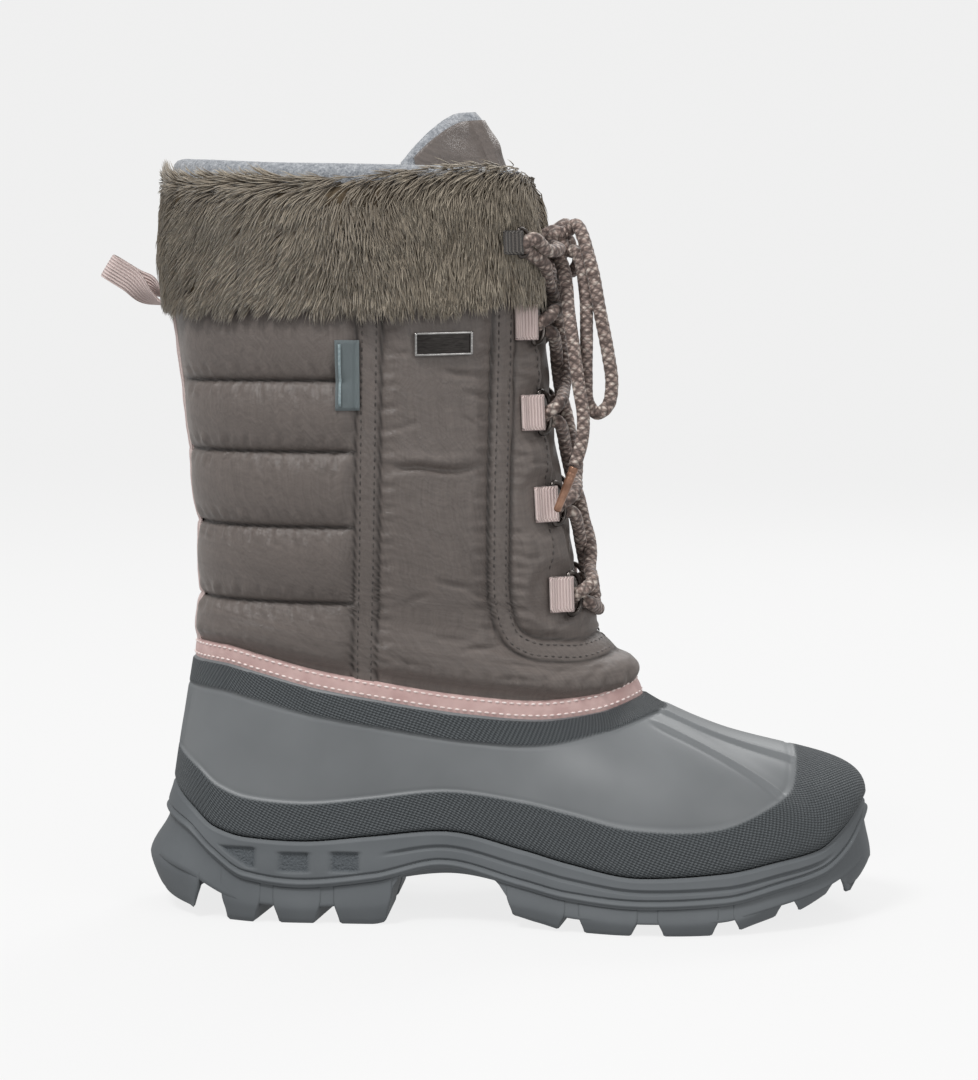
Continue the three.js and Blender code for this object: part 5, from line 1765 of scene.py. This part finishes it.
def combing(angle, share):
    """Lie of the fur, in degrees from straight down towards the heel: slanting back behind the
    seam, upright in front, brushed level along the top."""
    flow = 34 * smooth(folded(angle), 60, 120) + 9 * np.sin(np.radians(angle * 3.1))
    flow = flow + 7 * np.sin(np.radians(angle * 7.3 + 40))
    return flow + 62 * smooth(share, 0.86, 1.0)


def hair_tufts(random, count):
    """Roots, tones and lies of hairs gathered in tufts: every hair leans with its tuft, and its tip
    is drawn half way to the tuft's middle."""
    tuft_count = count // 14
    tuft_angle = random.uniform(0, 1, tuft_count)
    tuft_share = random.uniform(0, 1, tuft_count)
    owner = random.integers(0, tuft_count, count)
    spread = random.normal(0, 1, (count, 2))
    share_round = np.clip(tuft_angle[owner] + spread[:, 0] * 0.0042, 0.0, 1.0)
    share_up = np.clip(tuft_share[owner] + spread[:, 1] * 0.035, 0.0, 1.0)
    lean = random.normal(0, 7, tuft_count)[owner] + random.normal(0, 4, count)
    tone = np.clip(random.normal(0.62, 0.2, tuft_count)[owner] + random.normal(0, 0.16, count), 0, 1)
    lift = random.normal(0, 0.55, tuft_count)[owner] + random.normal(0, 0.35, count)
    return share_round, share_up, lean, tone, lift, spread


def spike_faces():
    """Triangles of one hair: a closed root, two bands between three rings of three, and a tip."""
    band = quads(3, 3, False, True)
    split = np.vstack([band[:, [0, 1, 2]], band[:, [0, 2, 3]]])
    edge = band[-3:]
    tip = np.stack([edge[:, 3], edge[:, 2], np.full(3, 9)], -1)
    return np.vstack([split, tip, [[2, 1, 0]]])


SPIKE = spike_faces()


def fur_piece(index):
    """Hairs as three-sided spikes: three rings and a tip along a curve that rises from the backing and lies
    over, angle a + s da, height h - s L cos(lie), distance out rising as the root of s."""
    random = np.random.default_rng(FUR_SEED + index)
    count = HAIRS_PER_PIECE
    share_round, share_up, lean, tone, lift, spread = hair_tufts(random, count)
    s = np.array([0.0, 0.36, 0.72, 1.0])[None]
    angle0 = lerp(22.0, 338.0, share_round)
    bottom = collar_height(angle0, "cuff_bottom") + 3.0
    top = collar_height(angle0, "cuff_top") + 0.5
    height0 = lerp(bottom, top, share_up)
    side = np.where(angle0 < 180, 1.0, -1.0)
    lie = np.radians(combing(angle0, share_up) + lean)
    length = random.uniform(9.5, 15.5, count) * (1 - 0.35 * smooth(share_up, 0.88, 1.0))
    length = np.where(height0 - bottom < 5, np.minimum(length, 9.0), length)
    around = side * np.sin(lie) * length / 1.12 - 0.5 * spread[:, 0] * 1.2
    drop = np.cos(lie) * length - 0.4 * spread[:, 1] * 1.6
    drop = drop - 2.2 * smooth(share_up, 0.93, 1.0)
    curl = random.normal(0, 0.7, count)[:, None] * np.sin(np.pi * s)
    angle = angle0[:, None] + around[:, None] * s + curl * 0.8
    height = height0[:, None] - drop[:, None] * s ** 1.1
    puffed = 0.85 + 0.15 * np.sin(np.radians(angle0 * 5)) * np.sin(height0 * 0.17)
    rise = (4.6 * puffed + lift)[:, None] * np.sqrt(s * (1.55 - 0.62 * s))
    centre = leg(angle, height, 1.6 + rise)
    outward = unit(leg(angle, height, 2.6 + rise) - centre)
    tangent = unit(np.gradient(centre, axis=1))
    sideways = unit(np.cross(tangent, outward))
    thickness = random.uniform(0.75, 1.2, (count, 1, 1, 1))
    radius = np.array(HAIR_RADII)[None, :, None, None] * thickness
    turn = 2 * np.pi * np.arange(3) / 3
    ring = (np.cos(turn)[:, None] * sideways[:, :, None] + np.sin(turn)[:, None] * outward[:, :, None])
    rings = (centre[:, :, None] + radius * ring)[:, :3].reshape(count, 9, 3)
    points = np.concatenate([rings, centre[:, 3:]], axis=1)
    faces = (SPIKE[None] + np.arange(count)[:, None, None] * 10).reshape(-1, 3)
    reach = np.append(np.repeat(s[0, :3], 3), 1.0)[SPIKE]
    uv = np.stack(np.broadcast_arrays(tone[:, None, None], reach[None]), -1).reshape(-1, 3, 2)
    obj = make_object(f"cuff_fur_{index + 1}", points, faces, uv)
    return settle(obj, MATERIALS["fur_hair"])


# ------------------------------------------------------------------ tongue

TONGUE_SIDE = 1.9


def tongue_angle(column, height):
    half = throat_angle(height)
    beyond = lerp(half, TONGUE_HALF_ANGLE, (np.abs(column) - 1) / 0.9)
    return np.where(np.abs(column) <= 1, column * half, np.sign(column) * beyond)


def tongue_depth(column, height):
    in_throat = (1 - smooth(np.abs(column), 0.6, 0.92)) * smooth(height, 128, 142)
    lean = along(TONGUE_LEAN, "height", "back", height)
    return lerp(LEG_WALL + 5 * CLEARANCE, TONGUE_SUNK, in_throat) + lean


def tongue_grid(columns, rows, top_drop, bottom=TONGUE_BOTTOM):
    """Angles, heights and depths of a tongue sheet whose top edge stops top_drop short."""
    column = np.linspace(-columns, columns, 150)[None]
    share = np.linspace(0, 1, rows)[:, None]
    edge = along(TONGUE_TOP, "angle", "height", np.abs(tongue_angle(column, 300.0))) - top_drop
    height = lerp(bottom, edge, share)
    return column, share, tongue_angle(column, height), height, tongue_depth(column, height)


def make_tongue():
    """Nylon face, puffed between its edges and gathered at the top, over a fleece back whose
    rounded edge shows as a border."""
    column, share, angle, height, depth = tongue_grid(TONGUE_SIDE - 0.1, 130, 3.2)
    edge = np.minimum(1 - np.abs(column) / (TONGUE_SIDE - 0.1), (1 - share) * 3)
    puff = 1.5 * np.clip(edge * 6, 0, 1) ** 0.5 - 0.9
    folds = 0.55 * np.sin(column * 9 + 1.2 * np.sin(height * 0.06)) * bump(height, 305, 30)
    gathers = 0.5 * np.sin(height * 0.33 + 2 * np.sin(column * 2.2)) * np.sin(column * 3 + 1)
    gathers = gathers * smooth(height, 130, 150)
    front = leg(angle, height, -depth + (puff + folds + gathers) * np.clip(edge * 8, 0, 1))
    back = leg(angle, height, -depth - 1.4)[::-1]
    face = grid_object("tongue_nylon", np.concatenate([front, back]), close_rows=True)
    settle(face, MATERIALS["nylon"], ("tongue",))
    column, share, angle, height, depth = tongue_grid(TONGUE_SIDE, 90, 0.0)
    roundness = np.sqrt(np.clip(np.minimum((TONGUE_SIDE - np.abs(column)) * 6, (1 - share) * 40), 0.02, 1))
    middle = -depth - TONGUE_WALL * 0.5
    near = leg(angle, height, middle + 1.55 * roundness)
    far = leg(angle, height, middle - 2.2 * roundness)[::-1]
    lining = grid_object("tongue_fleece", np.concatenate([near, far]), close_rows=True)
    outward_faces(lining)
    settle(lining, MATERIALS["fleece"])

# ------------------------------------------------------------------ pull loop

LOOP_WIDTH, LOOP_THICKNESS, LOOP_OPENING = 10.0, 1.2, 5.4
LOOP_ROOT = np.array([11.2, 0.0, 241.6])
LOOP_TIP = np.array([-12.5, 0.0, 256.2])


def make_pull_loop():
    """Flat tape profile carried out along a line, round a half turn and back; the tape twists a
    quarter turn from flat on the leg to on edge at its fold."""
    out = unit(LOOP_TIP - LOOP_ROOT)
    across = np.array([0.0, 1.0, 0.0])
    upright = np.cross(out, across)
    legs = np.linspace(0, 1, 46)[:-1]
    share = np.concatenate([legs, np.ones(24), legs[::-1]])[:, None]
    fold = np.concatenate([np.zeros(45), np.linspace(0, np.pi, 24), np.full(45, np.pi)])[:, None]
    twist = np.pi / 2 * smooth(share, 0.05, 0.75)
    wide = across * np.cos(twist) + upright * np.sin(twist)
    apart = upright * np.cos(twist) - across * np.sin(twist)
    spread = lerp(0.3, 1.0, smooth(share, 0, 0.6)) * (LOOP_OPENING + LOOP_THICKNESS) / 2
    normal = apart * np.cos(fold) + out * np.sin(fold)
    centre = lerp(LOOP_ROOT, LOOP_TIP, share) + normal * spread
    corner = np.linspace(0, 2 * np.pi, 28, endpoint=False)
    a = np.sign(np.cos(corner)) * np.abs(np.cos(corner)) ** 0.25 * LOOP_WIDTH / 2
    b = np.sign(np.sin(corner)) * np.abs(np.sin(corner)) ** 0.5 * LOOP_THICKNESS / 2
    points = centre[:, None] + a[None, :, None] * wide[:, None] + b[None, :, None] * normal[:, None]
    caps = [centre[k] + (points[k][None] - centre[k]) * 0.02 for k in (0, -1)]
    points = np.concatenate([caps[0], points, caps[1]])
    obj = grid_object("pull_loop_tape", points, close_columns=True)
    outward_faces(obj)
    return settle(obj, MATERIALS["pink_tape"], ("pull_loop",))


# ------------------------------------------------------------------ rings and tabs


def surface_frame(side, angle, height, outward):
    """Place on the leg and its axes: x towards the front, y up, z outwards."""
    def at(a, h):
        return leg(side * a, h, outward)

    forward = unit(at(angle - 1, height) - at(angle + 1, height))
    up = unit(at(angle, height + 1) - at(angle, height - 1)) * side
    out = unit(np.cross(forward, up))
    return at(angle, height), forward, np.cross(out, forward), out


def in_frame(place, local):
    origin, x, y, z = place
    local = np.asarray(local, dtype=float)
    return origin + local[..., :1] * x + local[..., 1:2] * y + local[..., 2:] * z


def ring_mesh(place, bar, height, reach, wire, tape):
    """Round wire carried round a squarish D: x = bar + reach cos^0.8, y = half sin^0.6, then back
    along the straight bar inside the tab."""
    rise = wire / 2 + 0.45 + tape
    half = (height - wire) / 2
    turn = np.linspace(-np.pi / 2, np.pi / 2, 41)
    arc = stack(bar + reach * np.clip(np.cos(turn), 0, 1) ** 0.8,
                half * np.sign(turn) * np.abs(np.sin(turn)) ** 0.6, rise)
    straight = stack(bar, half * np.linspace(1, -1, 12)[1:-1], rise)
    path = in_frame(place, np.vstack([arc, straight]))
    smoothed = path.copy()
    for _ in range(2):
        smoothed = (np.roll(smoothed, 1, 0) + 2 * smoothed + np.roll(smoothed, -1, 0)) / 4
    tangent = unit(np.roll(smoothed, -1, 0) - np.roll(smoothed, 1, 0))
    out = np.broadcast_to(place[3], tangent.shape)
    sideways = unit(np.cross(tangent, out))
    angle = 2 * np.pi * np.arange(12) / 12
    circle = np.cos(angle)[None, :, None] * sideways[:, None] + np.sin(angle)[None, :, None] * out[:, None]
    points = smoothed[:, None] + circle * wire / 2
    u, v = surface_lengths(points)
    return points.reshape(-1, 3), quads(len(points), 12, True, True), grid_uv(u, v, True, True)


def tab_mesh(place, back, bar, height, tape, wire):
    """Folded tape as a drop-shaped profile carried up its height, rounded at both cut edges."""
    bend = wire / 2 + 0.45 + tape
    arc = np.linspace(-np.pi / 2, np.pi / 2, 20)
    top = np.linspace(bar, -back, 16)[1:]
    settled = 2 * tape + (2 * bend - 2 * tape) * smooth(top, -back * 0.5, bar) ** 1.2
    profile = np.vstack([
        np.stack([np.linspace(-back, bar, 12)[:-1], np.zeros(11)], -1),
        np.stack([bar + bend * np.cos(arc), bend + bend * np.sin(arc)], -1),
        np.stack([top, settled], -1),
    ])
    middle = profile.mean(axis=0)
    rows = np.concatenate([[-0.5, -0.497], np.linspace(-0.485, 0.485, 13), [0.497, 0.5]])
    size = np.concatenate([[0.05, 0.93], np.ones(13), [0.93, 0.05]])
    frayed = 0.12 * np.sin(np.arange(len(profile)) * 1.9)
    points = []
    for row, scale in zip(rows, size):
        plan = lerp(middle, profile, scale)
        up = row * height + frayed * (abs(row) > 0.48)
        points.append(in_frame(place, stack(plan[:, 0], up, plan[:, 1])))
    points = np.array(points)
    u, v = surface_lengths(points)
    faces = quads(len(points), points.shape[1], False, True)
    return points.reshape(-1, 3), faces, grid_uv(u, v, False, True)


def eyelet_place(side, row):
    return surface_frame(side, TAB_ANGLE, EYELET_HEIGHTS[row], 1.3 if row == 0 else 1.5 * CLEARANCE)


def keeper_place(side):
    return surface_frame(side, KEEPER_ANGLE, KEEPER_HEIGHT, CUFF_DEPTH + 2 * CLEARANCE)


def make_hardware():
    for name, side in SIDES:
        for row in range(len(EYELET_HEIGHTS)):
            place = eyelet_place(side, row)
            tape = tab_mesh(place, 5.0, 3.0, TAB_HEIGHT, 0.75, RING_WIRE)
            tab = make_object(f"tab_{name}_{row + 1}", *tape)
            settle(outward_faces(tab), MATERIALS["pink_tape"], (f"ring_tab_{name}_{row + 1}",))
            wire = ring_mesh(place, 3.0, RING_HEIGHT, 6.4, RING_WIRE, 0.75)
            ring = make_object(f"wire_{name}_{row + 1}", *wire)
            settle(outward_faces(ring), MATERIALS["gunmetal"], (f"ring_{name}_{row + 1}",))
        place = keeper_place(side)
        tab = make_object(f"keeper_webbing_{name}", *tab_mesh(place, 3.5, 2.5, 9.0, 0.7, 1.5))
        settle(outward_faces(tab), MATERIALS["dark_tape"], (f"keeper_tab_{name}",))
        ring = make_object(f"keeper_wire_{name}", *ring_mesh(place, 2.5, 12.4, 5.0, 1.5, 0.7))
        settle(outward_faces(ring), MATERIALS["gunmetal"], (f"keeper_ring_{name}",))


# ------------------------------------------------------------------ lace through the rings

STRAND_ANGLE = 15.5
WRAP = [(13.4, -3.8, 2.4), (10.4, -2.8, -0.4), (7.4, -0.6, 1.4), (9.0, 1.6, 5.0), (13.2, 4.4, 4.8)]


def wrap_points(place):
    """Lace round a ring's wire: in from under it, up through the ring and back out over it."""
    return in_frame(place, WRAP)


def crossing_points(side, low, high, over):
    """Strand over the throat from one side to the other, sagging to the tongue when it is the
    lower of the two."""
    share = np.linspace(0.22, 0.78, 4)
    arch = np.sin(np.pi * share)
    out = lerp(4.4, 5.0 if over else 1.4, arch)
    return leg(side * STRAND_ANGLE * (1 - 2 * share), lerp(low + 2.5, high - 2.5, share), out)


def half_lace(side):
    """From the middle of the bottom bar up through four rings and a keeper to the knot."""
    parts = [leg(np.array([0.0, 9.0]) * side, np.array([120.6, 122.6]), 3.6)]
    rows = list(EYELET_HEIGHTS) + [251.0]
    at = side
    for row in range(len(EYELET_HEIGHTS)):
        parts.append(wrap_points(eyelet_place(at, row)))
        over = (row % 2 == 0) == (side == OUTER)
        parts.append(crossing_points(at, rows[row], rows[row + 1], over))
        at = -at
    parts.append(leg(np.array([19.0, 25.0]) * at, np.array([252.5, 257.0]), np.array([4.6, 8.2])))
    parts.append(in_frame(keeper_place(at), [(7.2, -2.6, 0.6), (5.2, -0.4, 2.2), (8.0, 1.4, 4.4)]))
    parts.append(leg(np.array([26.0, 17.0]) * at, np.array([262.6, 263.2]), np.array([10.6, 9.6])))
    parts.append(KNOT_CENTRE + np.array([[-1.0, -4.6 * at, -1.0], [1.5, -0.8 * at, 0.5]]))
    return np.vstack(parts)


def make_lace():
    halves = [braided(half_lace(side), sides=14)[0] for _, side in SIDES]
    obj = make_object("lace_through_rings", *joined(halves))
    nodes = ["lace_bar"] + [f"lace_crossing_{i + 1}" for i in range(len(EYELET_HEIGHTS))]
    settle(obj, MATERIALS["lace"], nodes)


def knot_strand(rows):
    return braided(KNOT_CENTRE + np.array(rows, dtype=float), sides=14)[0]


def make_knot():
    """Bow knot: a turn round the middle, and two strands that bulge out on each side of it."""
    turn = np.linspace(0.15 * np.pi, 2.05 * np.pi, 12)
    band = np.stack([4.4 * np.cos(turn), 1.6 * np.sin(turn * 0.5) - 0.6, 4.0 * np.sin(turn)], -1)
    parts = [
        knot_strand(band),
        knot_strand([(-2.5, -5.8, -1.2), (1.0, -5.6, 2.6), (4.4, -3.2, 3.4), (6.0, -3.0, 3.0)]),
        knot_strand([(-2.5, 5.8, -1.0), (0.0, 5.4, 3.0), (2.6, 5.6, 3.6), (3.0, 6.0, 4.0)]),
        knot_strand([(1.0, -2.0, 1.0), (3.6, -3.6, -1.0), (3.2, -4.2, -3.6), (2.4, -3.8, -6.2)]),
        knot_strand([(0.5, 2.0, 1.0), (3.4, 3.4, -1.0), (3.0, 4.0, -3.6), (2.2, 3.6, -6.2)]),
        knot_strand([(-1.0, -1.0, 2.0), (3.0, 1.4, 2.4), (6.0, 3.0, 0.0), (6.4, 4.0, -2.8)]),
    ]
    obj = make_object("bow_knot", *joined(parts))
    settle(obj, MATERIALS["lace"], ("lace_knot",))

# ------------------------------------------------------------------ everything in order

MATERIALS = {
    "rubber": moulded_rubber(),
    "sole_rubber": sole_rubber(),
    "nylon": nylon(),
    "pink_tape": pink_grosgrain(),
    "pink_binding": pink_binding(),
    "dark_tape": dark_webbing(),
    "fur_backing": fur_backing(),
    "fur_hair": fur_hair(),
    "fleece": fleece(),
    "gunmetal": gunmetal(),
    "lace": lace_braid(),
    "lace_tip": lace_tip(),
    "dark_thread": thread("dark_thread", (50, 45, 43), (84, 77, 73)),
    "pink_thread": thread("pink_thread", (228, 208, 203), (246, 234, 230)),
    "label": woven_label(),
    "label_stripe": thread("label_stripe", (118, 134, 138), (150, 164, 167)),
    "plate_dark": plate_metal("plate_dark", (44, 42, 41), (70, 67, 65), 0.38),
    "plate_rim": plate_metal("plate_rim", (150, 148, 146), (206, 204, 202), 0.25),
}

set_camera()
make_cords()
studio()
make_outsole()
make_insole()
make_rubber_foot()
make_shaft()
make_lining()
make_foot_lining()
make_leg_stitches()
make_binding()
make_back_tape()
make_label()
make_plate()
make_cuff_backing()
for fur_index in range(3):
    fur_piece(fur_index)
make_tongue()
make_pull_loop()
make_hardware()
make_lace()
make_knot()
